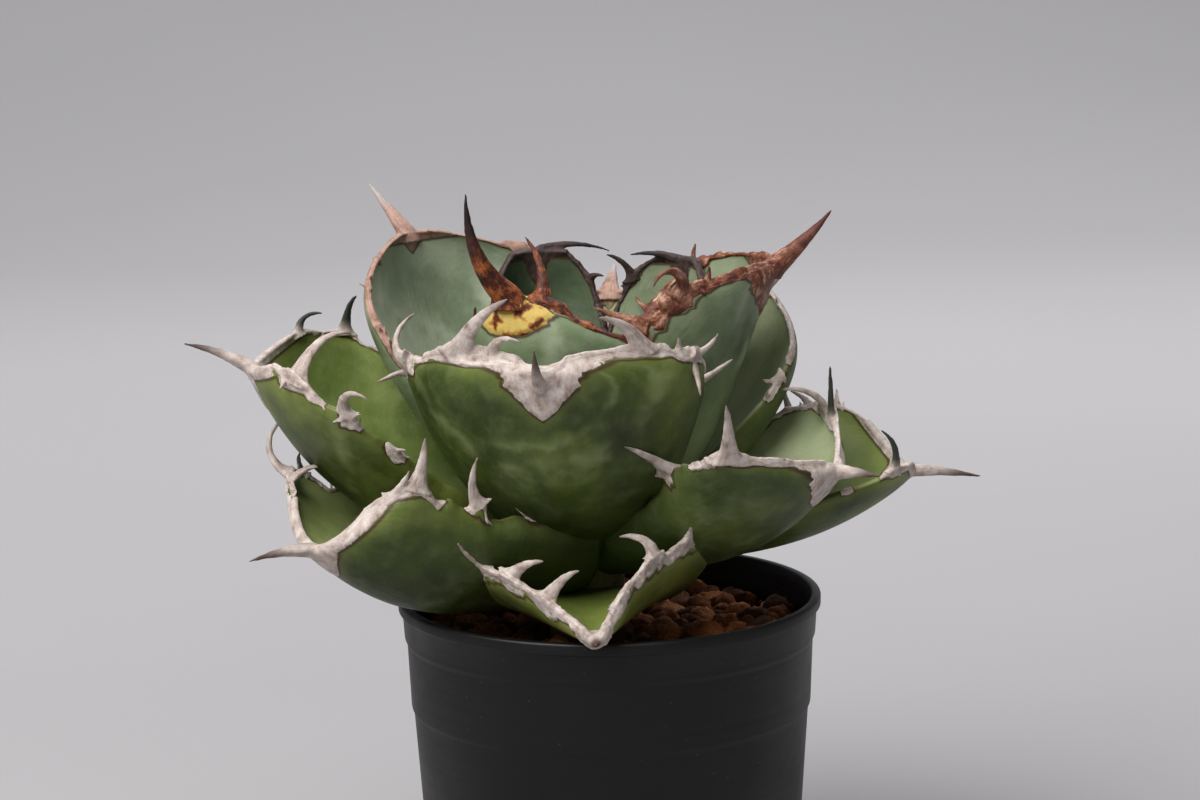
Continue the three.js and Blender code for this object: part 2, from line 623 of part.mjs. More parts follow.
function soilSolid() {
  const centre = new THREE.Vector2(0, 0);
  const bottom = WALL + 0.6 + CLEARANCE;
  const side = (height) => potBore(height) - CLEARANCE - 0.15;
  let soil = latheSolid(
    [
      [0, bottom], [side(bottom), bottom], [side(SOIL_TOP - 0.8), SOIL_TOP - 0.8],
      [side(SOIL_TOP) - 1.5, SOIL_TOP], [0, SOIL_TOP],
    ],
    POT_SIDES,
    centre,
  );
  const draw = seededDraw(11);
  const golden = Math.PI * (3 - Math.sqrt(5));
  for (let k = 0; k < GRAIN_COUNT; k++) {
    const radius = GRAIN_RADII[0] + (GRAIN_RADII[1] - GRAIN_RADII[0]) * draw();
    const reach = side(SOIL_TOP) - radius * 1.35;
    const inner = STEM_RADIUS + 3.5;
    const ring = Math.sqrt(inner * inner + (reach * reach - inner * inner) * ((k + 0.5) / GRAIN_COUNT));
    const angle = golden * k + 0.3 * draw();
    const height = Math.min(SOIL_TOP + 0.1 * radius + 0.7 * draw(), GRAIN_CEILING - radius * 1.2);
    const place = new THREE.Vector3(ring * Math.cos(angle), ring * Math.sin(angle), height);
    const room = side(SOIL_TOP) - Math.hypot(place.x, place.y);
    soil = soil.add(grainSolid(place, Math.min(radius, room / 1.3), draw));
  }
  const hole = STEM_RADIUS + CLEARANCE;
  const bore = [[0, STEM_FOOT - CLEARANCE], [hole, STEM_FOOT - CLEARANCE], [hole, 70], [0, 70]];
  return largestBody(soil.subtract(latheSolid(bore, 16, PLANT_AXIS)));
}

function stemSolid(grow) {
  return latheSolid(
    [
      [0, STEM_FOOT - grow], [STEM_RADIUS + grow, STEM_FOOT - grow], [STEM_RADIUS + grow, STEM_SHOULDER],
      [STEM_TOP_RADIUS + grow, STEM_TOP + grow], [0, STEM_TOP + grow],
    ],
    16,
    PLANT_AXIS,
  );
}

function budSolid(grow) {
  const slim = (share) => BUD.radius * (1 - share ** 1.8) + 0.9 * share;
  const body = BUD.tip - BUD.shoulder;
  return latheSolid(
    [
      [0, BUD.base - grow], [BUD.radius * 0.75 + grow, BUD.base - grow], [BUD.radius + grow, BUD.shoulder],
      [slim(0.4) + grow, BUD.shoulder + body * 0.4], [slim(0.75) + grow, BUD.shoulder + body * 0.75],
      [slim(1) + grow, BUD.tip + grow], [0, BUD.tip + grow],
    ],
    8,
    PLANT_AXIS,
  );
}

function budSpineSolid(grow) {
  const foot = BUD.tip + CLEARANCE;
  return latheSolid(
    [
      [0, foot - grow], [BUD.spineRadius + grow, foot - grow],
      [BUD.spineRadius * 0.6 + grow, foot + BUD.spine * 0.5],
      [0.25 + grow, foot + BUD.spine + grow], [0, foot + BUD.spine + grow],
    ],
    6,
    PLANT_AXIS,
  );
}

addSolid("pot", potSolid(), COLOURS.pot);
addSolid("soil", soilSolid(), COLOURS.soil);
addSolid("stem", stemSolid(0), COLOURS.stem);

// From the heart outward, each piece is cut clear of all that stand nearer the heart
let taken = stemSolid(CUT_GAP);
function addClear(name, solid, look) {
  addSolid(name, largestBody(solid.subtract(taken)), look);
}
addClear("bud", budSolid(0), COLOURS.blade);
taken = taken.add(budSolid(CUT_GAP));
addClear("bud_spine", budSpineSolid(0), COLOURS.horn);
taken = taken.add(budSpineSolid(CUT_GAP));
for (const leaf of LEAVES) {
  addClear(`blade_${leaf.name}`, bladeSolid(leaf, 0), COLOURS.blade);
  addClear(`horn_${leaf.name}`, hornSolid(leaf, 0).subtract(bladeSolid(leaf, OWN_GAP)), COLOURS.horn);
  taken = taken.add(bladeSolid(leaf, CUT_GAP)).add(hornSolid(leaf, CUT_GAP));
}

export default plant;
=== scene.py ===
import math

import bmesh
import bpy
import numpy as np
from mathutils import Matrix, Vector, noise
from mathutils.kdtree import KDTree


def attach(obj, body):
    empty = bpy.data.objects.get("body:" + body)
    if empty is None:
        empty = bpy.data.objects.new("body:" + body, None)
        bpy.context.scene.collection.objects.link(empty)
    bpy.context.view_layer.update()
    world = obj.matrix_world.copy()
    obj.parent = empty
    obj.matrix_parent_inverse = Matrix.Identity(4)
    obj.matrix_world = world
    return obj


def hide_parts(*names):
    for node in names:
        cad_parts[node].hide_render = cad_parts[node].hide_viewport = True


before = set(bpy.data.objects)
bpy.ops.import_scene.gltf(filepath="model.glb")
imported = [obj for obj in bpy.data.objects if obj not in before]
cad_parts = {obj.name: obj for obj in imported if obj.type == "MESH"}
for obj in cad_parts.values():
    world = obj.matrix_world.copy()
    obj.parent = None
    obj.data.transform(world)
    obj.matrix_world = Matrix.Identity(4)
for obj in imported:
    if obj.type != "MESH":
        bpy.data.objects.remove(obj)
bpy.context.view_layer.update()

MM = 0.001
TAU = 2 * math.pi

# Pot, soil and stem, in millimetres as in the frame
POT_HEIGHT = 68.0
RIM_RADIUS = 37.5
FOOT_RADIUS = 32.0
FOOT_ROUND = 1.0
WALL = 1.1
LIP_HEIGHT = 2.2
LIP_OUT = 0.5
LIP_FOOT = POT_HEIGHT - LIP_HEIGHT
LIP_ROUND = 0.55
LIP_LOWER_ROUND = 0.35
MOUTH_ROUND = 0.5
BAND_DEPTHS = (7.5, 20.0)
BAND_STEP = 0.35
BAND_HALF = 0.7
FLOOR_TOP = WALL + 0.6
DRAIN_COUNT = 6
DRAIN_RADIUS = 3.2
DRAIN_CIRCLE = 21.0
SOIL_TOP = 60.5
SOIL_FOOT = 2.0
SOIL_GAP = 0.45
GRAIN_TOP = 63.2
GRAIN_GAP = 0.7
STEM_RADIUS = 7.0
STEM_FOOT = 44.0
STEM_SHOULDER = 74.0
STEM_TOP = 85.0
STEM_TOP_RADIUS = 4.0
PLANT_AXIS = (-4.0, 0.0)

# The bud at the heart and its small spine, in millimetres
BUD_BASE = 84.0
BUD_SHOULDER = 92.0
BUD_TIP = 108.0
BUD_RADIUS = 5.2
BUD_SPINE = 9.0
BUD_SPINE_RADIUS = 1.1
BUD_SPINE_STEPS = 24

# The camera: where it aims, how far and how high it stands, its lens and its slight roll
AIM = Vector((-1.108, 0.0, 102.67)) * MM
CAMERA_DISTANCE = 0.6
CAMERA_ELEVATION = math.radians(10.415)
CAMERA_ROLL = math.radians(0.947)
SENSOR = 36.0
LENS = 3411.1 / 1200 * SENSOR

# Leaves: lengths in millimetres, places and tapers as shares of the leaf's length
LEFT, RIGHT = 1, -1
EDGE_THICKNESS = 0.65
FACE_THICKNESS = 0.35
EDGE_SINK = 0.45
SECTION_STEPS = 16
BLADE_COLUMNS = 57
BLADE_ROWS = 92
HORN_START = 0.2
CAP_BAND = 0.02
BREAK_FADE = 0.012
BREAK_TAPER = 0.035
BURIED = 1.6
SPINE_DROP = 1.6
LEAST_HORN = 0.16
STRIP_RINGS = 220
STRIP_SIDES = 10
CAP_COLUMNS = 61
CAP_ROWS = 16
HORN_STEPS = 34
VOXEL = 0.2
RIM_TRIANGLES = 34000
BUD_SPINE_TRIANGLES = 4000

# What the parts of a horny rim are called in its "kind"; grey teeth lie DARK higher
STRIP, TOOTH, SPINE, CAP = 0, 1, 2, 3
DARK = 10

# A leaf's azimuth, its midrib from base to tip as (radius, height) and the rise at both ends, half width,
# place of the widest point, thickness, fold at base, middle and tip, and the tip's shape follow the frame.
# Only here: strip is how heavy the rim is, wave how far its edge winds, hooks how many small thorns are tried
# on each edge, patch how far the horny cap reaches down the midrib.
# Imprint: place at the midrib, lean, curve, width and strength of a pale line. Break: side, start and end.
# Spine: length, base radius, elevation at start and end, swing at start and end, and how deep it is rooted.
# Tooth: side, place along the leaf, length, lean to the tip, curl, tilt inward, base radius and inward arch.
DEFAULTS = dict(
    bend=0.0, widest=0.7, thick=6, left_width=1.0, right_width=1.0, left_fold=1.0, right_fold=1.0, root=0.38,
    vee=0.1, tip_share=0.1, patch=0.12, cap_half=5.0, cap_power=0.8, strip=1.0, left_strip=1.0,
    right_strip=1.0, hooks=4, wave=0.0, horn="horn_pale", skin="outer_green", imprints=(), breaks=(),
    dark_teeth=(),
)

LEAVES = [
    dict(name="centre_front", azimuth=-118, base=(3, 85), tip=(24, 124), rise=(50, 90), bend=-0.6,
        width=25, widest=0.62, taper=1.7, ogive=0.85, left_width=0.96, right_width=0.75,
        fold=(60, 70, 40), patch=0.115, spine=(20.5, 2.5, 40, 92, -36, -10), horn="horn_amber",
        skin="blue_green", cap_half=8.2, cap_power=0.3, strip=0.7,
        imprints=((0.72, 0.2, 0.2, 0.07, 0.4),),
        teeth=((LEFT, 0.989, 13, -8, 61, 27, 1.1), (LEFT, 0.76, 4, 20, 30, 10, 0.9),
            (RIGHT, 0.8, 5, 10, 30, 10, 1))),
    dict(name="back_middle", azimuth=110, base=(4, 86), tip=(24, 126), rise=(50, 95), width=12.5,
        widest=0.62, taper=2.4, ogive=0.8, tip_share=0.45, fold=(50, 65, 40), thick=5,
        spine=(13, 0.85, 20, -22, -95, -112), horn="horn_mahogany", skin="shade_green", strip=0.45,
        cap_half=3.0,
        teeth=((RIGHT, 0.9, 4, 10, -60, 20, 0.9), (LEFT, 0.86, 4, 20, 30, 0, 0.8))),
    dict(name="back_right", azimuth=44, base=(4, 86), tip=(25, 125), rise=(45, 92), width=13, widest=0.65,
        taper=2.4, ogive=0.8, tip_share=0.4, fold=(50, 65, 40), thick=5,
        spine=(9, 0.85, 25, -12, 118, 136), horn="horn_mahogany", skin="blue_green", strip=0.45,
        cap_half=3.0,
        teeth=((LEFT, 0.92, 7, 40, -70, 10, 0.9), (RIGHT, 0.84, 4, 20, 30, 0, 0.8))),
    dict(name="centre_right", azimuth=-6, base=(4, 83), tip=(33, 127), rise=(38, 60), width=25.5,
        taper=2.8, ogive=0.8, right_width=0.93, fold=(55, 78, 40), patch=0.16,
        spine=(13.5, 2.4, 36, 52, 0, 0), horn="horn_tan", skin="blue_green", cap_half=15, cap_power=1.0,
        strip=1.05, imprints=((0.7, -0.2, 0.3, 0.07, 0.4),),
        teeth=((RIGHT, 0.841, 12, 73, -192, -3, 1.3, -27), (RIGHT, 0.726, 10, -36, 12, 23, 1.2),
            (RIGHT, 0.89, 4.5, 90, -100, 10, 1.3), (LEFT, 0.84, 4, 10, 30, 0, 0.9),
            (LEFT, 0.64, 4, 0, 40, 0, 0.9))),
    dict(name="back_left", azimuth=138, base=(5, 81), tip=(42, 129), rise=(38, 84), width=28.5,
        widest=0.62, root=0.42, taper=3.2, ogive=0.75, tip_share=0.12, left_width=0.9, fold=(50, 66, 40),
        left_fold=0.78, thick=5.5, patch=0.05, spine=(12.5, 1.8, 44, 40, 0, 0), horn="horn_rust",
        skin="blue_green_painted_lit_inside", strip=0.35, cap_half=2.6, hooks=7, breaks=((LEFT, 0.19, 0.5),),
        imprints=((0.72, 0.0, 0.3, 0.08, 0.4), (0.56, 0.05, 0.2, 0.06, 0.3)),
        teeth=((LEFT, 0.95, 3, 80, 40, 0, 0.8), (LEFT, 0.6, 3, 10, 30, 0, 0.8),
            (RIGHT, 0.916, 7.7, -31, -168, 0, 1), (RIGHT, 0.66, 4, 10, 40, 10, 0.8))),
    dict(name="front", azimuth=-100, base=(5, 83.5), tip=(39, 115.3), rise=(16, 66), width=30,
        widest=0.66, root=0.6, taper=3, ogive=0.6, tip_share=0.12, left_width=1.02, fold=(50, 58, 38),
        left_fold=1.25, thick=7, patch=0.165, spine=(9, 1.7, 15, 85, 0, 0, 4.5), cap_half=7.6,
        cap_power=0.85, strip=0.8, hooks=6, wave=0.35,
        breaks=((LEFT, 0.2, 0.45), (LEFT, 0.62, 0.72), (RIGHT, 0.2, 0.56)),
        imprints=((0.64, 0.08, 0.34, 0.06, 0.34), (0.74, 0.15, 0.4, 0.035, 0.26)),
        teeth=((RIGHT, 0.744, 6.4, -8, -84, -39, 0.9, -90), (RIGHT, 0.825, 14.6, -47, 29, -19, 1.1, 105),
            (RIGHT, 0.968, 17.2, 32, 38, -7, 1.9, 19), (RIGHT, 0.993, 8.9, -6, 125, -8, 1.2, 15),
            (LEFT, 0.98, 7, -150, -35, -36, 1.2), (LEFT, 0.96, 11.5, 22, 60, 0, 1.9),
            (LEFT, 0.9, 3, 0, 30, 0, 1.1), (LEFT, 0.873, 7.3, -100, 108, 6, 1.2, -29),
            (LEFT, 0.869, 7.4, -152, -60, -40, 1), (LEFT, 0.56, 7, 20, 40, -30, 0.9))),
    dict(name="right_back", azimuth=36, base=(5, 80), tip=(39.3, 118.8), rise=(28, 78), width=28,
        widest=0.65, taper=2.4, ogive=0.8, right_width=0.93, fold=(50, 65, 40), right_fold=0.65,
        spine=(11, 1.5, 30, 36, 0, 0), skin="grey_green_painted_lit_inside", strip=0.6, right_strip=0.4,
        breaks=((RIGHT, 0.2, 0.55), (RIGHT, 0.7, 0.74)),
        teeth=((RIGHT, 0.68, 4.1, -73, -150, 27, 1, 22), (RIGHT, 0.78, 3, 10, 30, 0, 0.9),
            (LEFT, 0.8, 5, 10, 40, 0, 1), (LEFT, 0.6, 5, 0, 40, 0, 1))),
    dict(name="left", azimuth=184, base=(7, 77.5), tip=(57, 110.5), rise=(18, 62), width=26, widest=0.68,
        taper=3.6, ogive=0.9, tip_share=0.5, left_width=0.96, right_width=1.05, fold=(45, 65, 45),
        vee=0.3, left_fold=0.66, right_fold=1.12, thick=6.5, spine=(12.3, 1.6, 34, 10, 0, 0),
        skin="yellow_green", wave=0.5, strip=0.75, right_strip=0.5,
        breaks=((LEFT, 0.8, 0.85), (LEFT, 0.6, 0.7), (LEFT, 0.19, 0.5)), dark_teeth=(4, 5),
        imprints=((0.5, 0.1, 0.2, 0.06, 0.3),),
        teeth=((LEFT, 0.952, 15.2, 0, 23, 32, 1.2, 102), (LEFT, 0.779, 10.8, 61, -131, 13, 1, -31),
            (LEFT, 0.982, 4.6, -65, -62, -22, 1, -45), (LEFT, 0.54, 2.5, 60, -120, 0, 0.8),
            (RIGHT, 0.991, 6.6, 16, -142, 6, 1, 51), (RIGHT, 0.899, 9.3, 7, 5, 10, 1, 75))),
    dict(name="low_right", azimuth=-28, base=(6, 77), tip=(48, 95), rise=(6, 52), width=27, widest=0.78,
        root=0.45, taper=3.6, ogive=0.8, left_width=1.06, right_width=0.93, fold=(40, 70, 40), vee=0.2,
        thick=4.5, patch=0.16, spine=(7.2, 1.7, 2, -6, 0, 0), skin="grey_green_painted_lit_inside", wave=0.7, strip=0.8,
        cap_half=7.5, cap_power=0.7, breaks=((RIGHT, 0.24, 0.46), (RIGHT, 0.58, 0.7)), dark_teeth=(4,),
        teeth=((RIGHT, 0.916, 11.6, -9, -10, -2, 1.8), (RIGHT, 0.523, 11.5, 18, -19, -27, 1.4, -15),
            (RIGHT, 0.14, 7, 62, 50, 8, 1.2), (LEFT, 0.924, 13.1, 29, -3, 38, 1.1, 99),
            (LEFT, 0.952, 10.8, 4, -11, 35, 1), (LEFT, 0.6, 5, 0, 30, 0, 1))),
    dict(name="low_back", azimuth=84, base=(7, 80), tip=(47, 114.7), rise=(14, 70), width=27, taper=3,
        ogive=0.85, fold=(45, 64, 35), vee=0.2, patch=0.05, spine=(12, 2, 25, 15, 0, 0), horn="horn_rust",
        strip=0.5, cap_half=2.2,
        teeth=((LEFT, 0.84, 6, 0, 40, 0, 1.2), (LEFT, 0.62, 7, 0, 30, 0, 1.2),
            (RIGHT, 0.84, 6, 0, -40, 0, 1.2), (RIGHT, 0.62, 7, 0, 30, 0, 1.2))),
    dict(name="low_left", azimuth=213, base=(6, 74.5), tip=(54, 84), rise=(-6, 40), width=20.5,
        widest=0.82, root=0.8, taper=3.4, ogive=0.5, tip_share=0.55, left_width=1.1, right_width=1.46,
        fold=(50, 66, 66), vee=0.3, left_fold=1.2, right_fold=0.6, spine=(11.8, 1.6, 10, -12, 0, 0),
        wave=1.0, cap_half=5.4, strip=0.62, breaks=((LEFT, 0.27, 0.45), (LEFT, 0.62, 0.76)),
        dark_teeth=(6,),
        teeth=((LEFT, 0.985, 6, -64, 15, 5, 1.2), (LEFT, 0.94, 9, -18, 11, -2, 1.7),
            (LEFT, 0.526, 9.3, 47, -48, 2, 1.2, -15), (LEFT, 0.23, 4.4, 58, 12, 8, 1),
            (RIGHT, 0.977, 12.3, 23, -120, -28, 1.2, 109), (RIGHT, 0.993, 7.9, 70, -134, 57, 1.2, 80),
            (RIGHT, 0.86, 5, 60, -90, 10, 1))),
    dict(name="far_right", azimuth=8, base=(7, 77.5), tip=(57.5, 88.5), rise=(2, 34), width=24,
        widest=0.78, taper=4, ogive=0.85, tip_share=0.6, fold=(45, 62, 45), vee=0.2, left_fold=1.2,
        right_fold=0.6, thick=4.5, patch=0.1, spine=(13.5, 1.6, -4, -12, 0, 0), skin="yellow_green",
        left_strip=0.4, right_strip=0.55, breaks=((RIGHT, 0.19, 0.36), (RIGHT, 0.42, 0.56),
        (RIGHT, 0.62, 0.72), (RIGHT, 0.77, 0.88), (LEFT, 0.19, 0.5)), dark_teeth=(3,),
        teeth=((LEFT, 0.95, 3.5, -20, 0, 0, 0.9), (LEFT, 0.86, 4.5, -10, -50, 0, 0.9),
            (LEFT, 0.76, 4.5, 0, 20, 0, 1), (RIGHT, 0.933, 9, 24, -105, 31, 0.9, 20),
            (RIGHT, 0.5, 2.5, 0, 60, 0, 0.9))),
    dict(name="low_back_left", azimuth=134, base=(7, 75), tip=(56, 90), rise=(5, 55), width=26, taper=3,
        ogive=0.85, fold=(45, 62, 35), vee=0.2, spine=(12, 2, 10, 0, 0, 0),
        teeth=((LEFT, 0.84, 6, 0, 40, 0, 1.2), (LEFT, 0.62, 7, 0, 30, 0, 1.2),
            (RIGHT, 0.84, 6, 0, -40, 0, 1.2), (RIGHT, 0.62, 7, 0, 30, 0, 1.2))),
    dict(name="low_front", azimuth=-88, base=(7, 70.3), tip=(43, 71), rise=(0, 8), width=21, widest=0.3,
        root=0.8, taper=1.3, ogive=1, left_width=1.1, right_width=1.2, fold=(5, 37, 52), vee=0.6,
        left_fold=1.45, right_fold=0.95, thick=4, patch=0.1, spine=(3, 1.8, 0, 0, 0, 0),
        skin="yellow_green_painted_lit", cap_half=4.6, strip=0.9, hooks=7, wave=0.7,
        teeth=((RIGHT, 0.529, 8.1, 5, -13, 3, 1.2, 22), (RIGHT, 0.665, 9.4, 28, 55, 53, 1.5, -30),
            (RIGHT, 0.831, 11.4, 12, 46, 57, 1.4, -30), (LEFT, 0.446, 8.1, 1, 9, 20, 1.1, 9),
            (LEFT, 0.654, 8.2, -61, 26, 23, 1.6, 118), (LEFT, 0.855, 3.4, 77, 40, -6, 1, 45))),
]

# Leaf shapes

def unit(vectors):
    return vectors / np.linalg.norm(vectors, axis=-1, keepdims=True)


def wander(x, seed):
    """A repeatable value that wanders between about -1 and 1 as x grows by a few units."""
    slow = np.sin(x * 1.3 + seed * 2.1)
    return (slow + 0.6 * np.sin(x * 2.9 + seed * 4.7) + 0.4 * np.sin(x * 5.3 + seed * 1.3)) / 2


def through(three, t):
    """The parabola through three values at the base, middle and tip."""
    base, middle, tip = three
    return base * (1 - t) * (1 - 2 * t) + 4 * middle * t * (1 - t) + tip * t * (2 * t - 1)


def midrib(leaf, t):
    """Point, way outward along the leaf, way to its left and way off its upper face, for each t."""
    t = np.asarray(t, float)[..., None]
    base = np.array(leaf["base"], float)
    tip = np.array(leaf["tip"], float)
    reach = 0.4 * np.linalg.norm(tip - base)
    first, last = (math.radians(angle) for angle in leaf["rise"])
    after = base + reach * np.array([math.cos(first), math.sin(first)])
    before = tip - reach * np.array([math.cos(last), math.sin(last)])
    rib = (1 - t) ** 3 * base + 3 * t * (1 - t) ** 2 * after + 3 * t * t * (1 - t) * before + t ** 3 * tip
    run = (1 - t) ** 2 * (after - base) + 2 * t * (1 - t) * (before - after) + t * t * (tip - before)
    azimuth = math.radians(leaf["azimuth"])
    outward = np.array([math.cos(azimuth), math.sin(azimuth), 0.0])
    leftward = np.array([-math.sin(azimuth), math.cos(azimuth), 0.0])
    up = np.array([0.0, 0.0, 1.0])
    axis = np.array([*PLANT_AXIS, 0.0])
    point = axis + rib[..., :1] * outward + rib[..., 1:] * up + leaf["bend"] * t * t * leftward
    along = unit(3 * run[..., :1] * outward + 3 * run[..., 1:] * up + 2 * leaf["bend"] * t * leftward)
    side = unit(leftward - along * (along @ leftward)[..., None])
    return point, along, side, np.cross(along, side)


def sided(leaf, key, u):
    """What the leaf says for its left or right half, by the sign of u."""
    return np.where(u < 0, leaf["right_" + key], leaf["left_" + key])


def each_edge(measure, leaf, t, u):
    """A measure of the leaf's edges, taken from the edge on each point's side."""
    return np.where(u < 0, measure(leaf, RIGHT, t), measure(leaf, LEFT, t))


def half_width(leaf, t):
    t = np.clip(t, 0, 1)
    swell = np.sin(math.pi / 2 * np.minimum(t / leaf["widest"], 1)) ** 1.3
    rising = leaf["root"] + (1 - leaf["root"]) * swell
    q = np.clip((t - leaf["widest"]) / (1 - leaf["widest"]), 0, 1)
    share = leaf["tip_share"]
    falling = share + (1 - share) * (1 - q ** leaf["taper"]) ** leaf["ogive"]
    return leaf["width"] * np.where(t < leaf["widest"], rising, falling)


def leaf_point(leaf, t, u):
    """Points and normals of the upper face, at t along and u across (-1 right edge, 1 left edge)."""
    t, u = np.broadcast_arrays(t, u)
    point, _, side, face = midrib(leaf, t)
    sign = np.where(u < 0, -1.0, 1.0)
    across = np.abs(u)
    fold = np.radians(through(leaf["fold"], t)) * sided(leaf, "fold", u)
    width = half_width(leaf, t) * sided(leaf, "width", u)
    vee = leaf["vee"]
    sideways = np.zeros_like(across)
    upward = np.zeros_like(across)
    for k in range(SECTION_STEPS):
        v = (k + 0.5) / SECTION_STEPS * across
        slope = fold * (vee * np.tanh(6 * v) + (1 - vee) * v)
        sideways += np.cos(slope) * width * across / SECTION_STEPS
        upward += np.sin(slope) * width * across / SECTION_STEPS
    slope = fold * (vee * np.tanh(6 * across) + (1 - vee) * across)
    place = point + side * (sign * sideways)[..., None] + face * upward[..., None]
    normal = face * np.cos(slope)[..., None] - side * (sign * np.sin(slope))[..., None]
    return place, normal


def leaf_thickness(leaf, t, u):
    lengthwise = leaf["thick"] * (0.12 + 0.88 * (1 - np.clip(t, 0, 1) ** 1.6))
    u = np.clip(np.abs(u), 0, 1)
    return lengthwise * 0.85 * np.sqrt(1 - u ** 2.5) + EDGE_THICKNESS + FACE_THICKNESS * (1 - u ** 6)


def leaf_length(leaf):
    """The leaf's length along its midrib, about."""
    return 1.15 * math.dist(leaf["base"], leaf["tip"])


def near_teeth(leaf, sign, t, spread):
    """The lengths of the teeth near t on one edge, each fading within a spread of millimetres."""
    width = spread / leaf_length(leaf)
    total = np.zeros_like(t)
    for side, place, length, *_ in leaf["teeth"]:
        if side == sign:
            total = np.maximum(total, length * np.exp(-((t - place) / width) ** 2))
    return total


def gaps(leaf, sign):
    """Where one edge's horny rim is missing."""
    return [(start, end) for side, start, end in leaf["breaks"] if side == sign]


def kept(leaf, sign, t):
    """One where the horny rim is whole, zero where it is missing."""
    whole = np.ones_like(t)
    for start, end in gaps(leaf, sign):
        gap = np.clip((t - start) / BREAK_FADE, 0, 1) * np.clip((end - t) / BREAK_FADE, 0, 1)
        whole = whole * (1 - gap)
    return whole


def strip_size(leaf, sign, t):
    """How heavy the horny rim is: thinner beside its gaps and towards the leaf's foot."""
    share = np.clip((t - HORN_START) / 0.3, 0.2, 1)
    for start, end in gaps(leaf, sign):
        away = np.where(t < start, start - t, t - end)
        share = np.minimum(share, np.clip(away / BREAK_TAPER, 0.12, 1))
    coarse = wander(t * 30, leaf["azimuth"] * 0.7 + sign)
    fine = wander(t * 71, leaf["azimuth"] + 2 * sign)
    heavy = np.clip(1 + 0.3 * coarse + 0.15 * fine, 0.72, 1.5)
    return leaf["strip"] * sided(leaf, "strip", sign) * share * heavy


def hump(leaf, sign, t):
    """How far the edge stands out at its teeth and sinks between them, in millimetres."""
    risen = np.clip(0.13 * near_teeth(leaf, sign, t, 3.4), 0, 1.3)
    wavy = 0.16 * wander(t * 26, leaf["azimuth"] + sign)
    swell = leaf["wave"] * wander(t * 11, leaf["azimuth"] * 0.3 + sign)
    return risen - EDGE_SINK + wavy + swell


def edge_u(leaf, sign, t, inward):
    """The u of a point that lies a number of millimetres inward from the edge."""
    width = half_width(leaf, t) * sided(leaf, "width", sign)
    return sign * (1 + (hump(leaf, sign, t) - inward) / width)


def rim_cover(leaf, sign, t):
    """How far the horny rim reaches over the blade, in millimetres."""
    seed = leaf["azimuth"] + 7 * sign
    ragged = 0.24 * wander(t * 34, seed) + 0.17 * wander(t * 95, seed + 3)
    return strip_size(leaf, sign, t) * (0.72 + ragged + 0.15 * near_teeth(leaf, sign, t, 2.4))


def cap_edge(leaf, u):
    """Where along the leaf the horny cap starts, for each u."""
    length = leaf_length(leaf)
    depth = leaf["patch"] * length
    places = np.linspace(1 - leaf["patch"], 1 - CAP_BAND, 90)
    across = np.abs(u)[..., None] * half_width(leaf, places) * sided(leaf, "width", u)[..., None]
    seed = leaf["azimuth"]
    ragged = 1 + 0.12 * wander(places * 60, seed) + 0.08 * wander(places * 150, seed + 1)
    down = (1 - places) * length / depth
    room = leaf["cap_half"] * ragged * np.clip(1 - down, 0, None) ** leaf["cap_power"]
    inside = across <= room + 0.02
    first = np.argmax(inside, axis=-1)
    return np.where(inside.any(axis=-1), places[first], 1 - CAP_BAND)


def edge_frame(leaf, sign, t):
    """Middle of the edge, way to the tip, way off the blade and way off the upper face."""
    step = 0.004
    near = np.clip(t, step, 1 - step)
    calm = dict(leaf, wave=0.0)
    here, normal = leaf_point(leaf, t, edge_u(leaf, sign, t, 0))
    ahead, _ = leaf_point(leaf, near + step, edge_u(calm, sign, near + step, 0))
    behind, _ = leaf_point(leaf, near - step, edge_u(calm, sign, near - step, 0))
    to_tip = unit(ahead - behind)
    off = unit(np.cross(to_tip, normal)) * -sign
    return here - normal * EDGE_THICKNESS / 2, to_tip, off, normal


# Meshes

def in_scene(name, data):
    made = bpy.data.objects.new(name, data)
    bpy.context.scene.collection.objects.link(made)
    return made


def shade_smooth(mesh):
    mesh.polygons.foreach_set("use_smooth", [True] * len(mesh.polygons))


def keep_values(mesh, **values):
    """Stores one number per vertex under each name, for the materials."""
    for key, numbers in values.items():
        layer = mesh.attributes.new(key, "FLOAT", "POINT")
        layer.data.foreach_set("value", np.asarray(numbers, np.float32))


def mesh_object(name, vertices, faces, **values):
    mesh = bpy.data.meshes.new(name)
    mesh.from_pydata(np.asarray(vertices) * MM, [], faces)
    keep_values(mesh, **values)
    mesh.validate()
    shade_smooth(mesh)
    return in_scene(name, mesh)


def evaluated(piece):
    """The piece with its modifiers carried out."""
    return piece.evaluated_get(bpy.context.evaluated_depsgraph_get())


def ring_faces(rings, sides):
    """Quads between rings that follow each other."""
    faces = []
    for i in range(rings - 1):
        for j in range(sides):
            a = i * sides + j
            b = i * sides + (j + 1) % sides
            faces.append((a, b, b + sides, a + sides))
    return faces


def tube_faces(rings, sides):
    """Faces of a closed tube, with flat ends."""
    first = tuple(reversed(range(sides)))
    last = tuple((rings - 1) * sides + j for j in range(sides))
    return ring_faces(rings, sides) + [first, last]


def sheet_faces(rows, columns):
    """Quads of a closed sheet: an upper grid followed by an under grid."""
    gap = rows * columns
    faces = []
    for i in range(rows - 1):
        for j in range(columns - 1):
            a = i * columns + j
            d = a + columns
            faces.append((a, d, d + 1, a + 1))
            faces.append((a + gap, a + 1 + gap, d + 1 + gap, d + gap))
    for j in range(columns - 1):
        a = j
        b = (rows - 1) * columns + j
        faces.append((a, a + 1, a + 1 + gap, a + gap))
        faces.append((b + 1, b, b + gap, b + 1 + gap))
    for i in range(rows - 1):
        a = i * columns
        b = a + columns - 1
        faces.append((a + columns, a, a + gap, a + columns + gap))
        faces.append((b, b + columns, b + columns + gap, b + gap))
    return faces


def both_faces(upper, under):
    return np.concatenate([upper.reshape(-1, 3), under.reshape(-1, 3)])


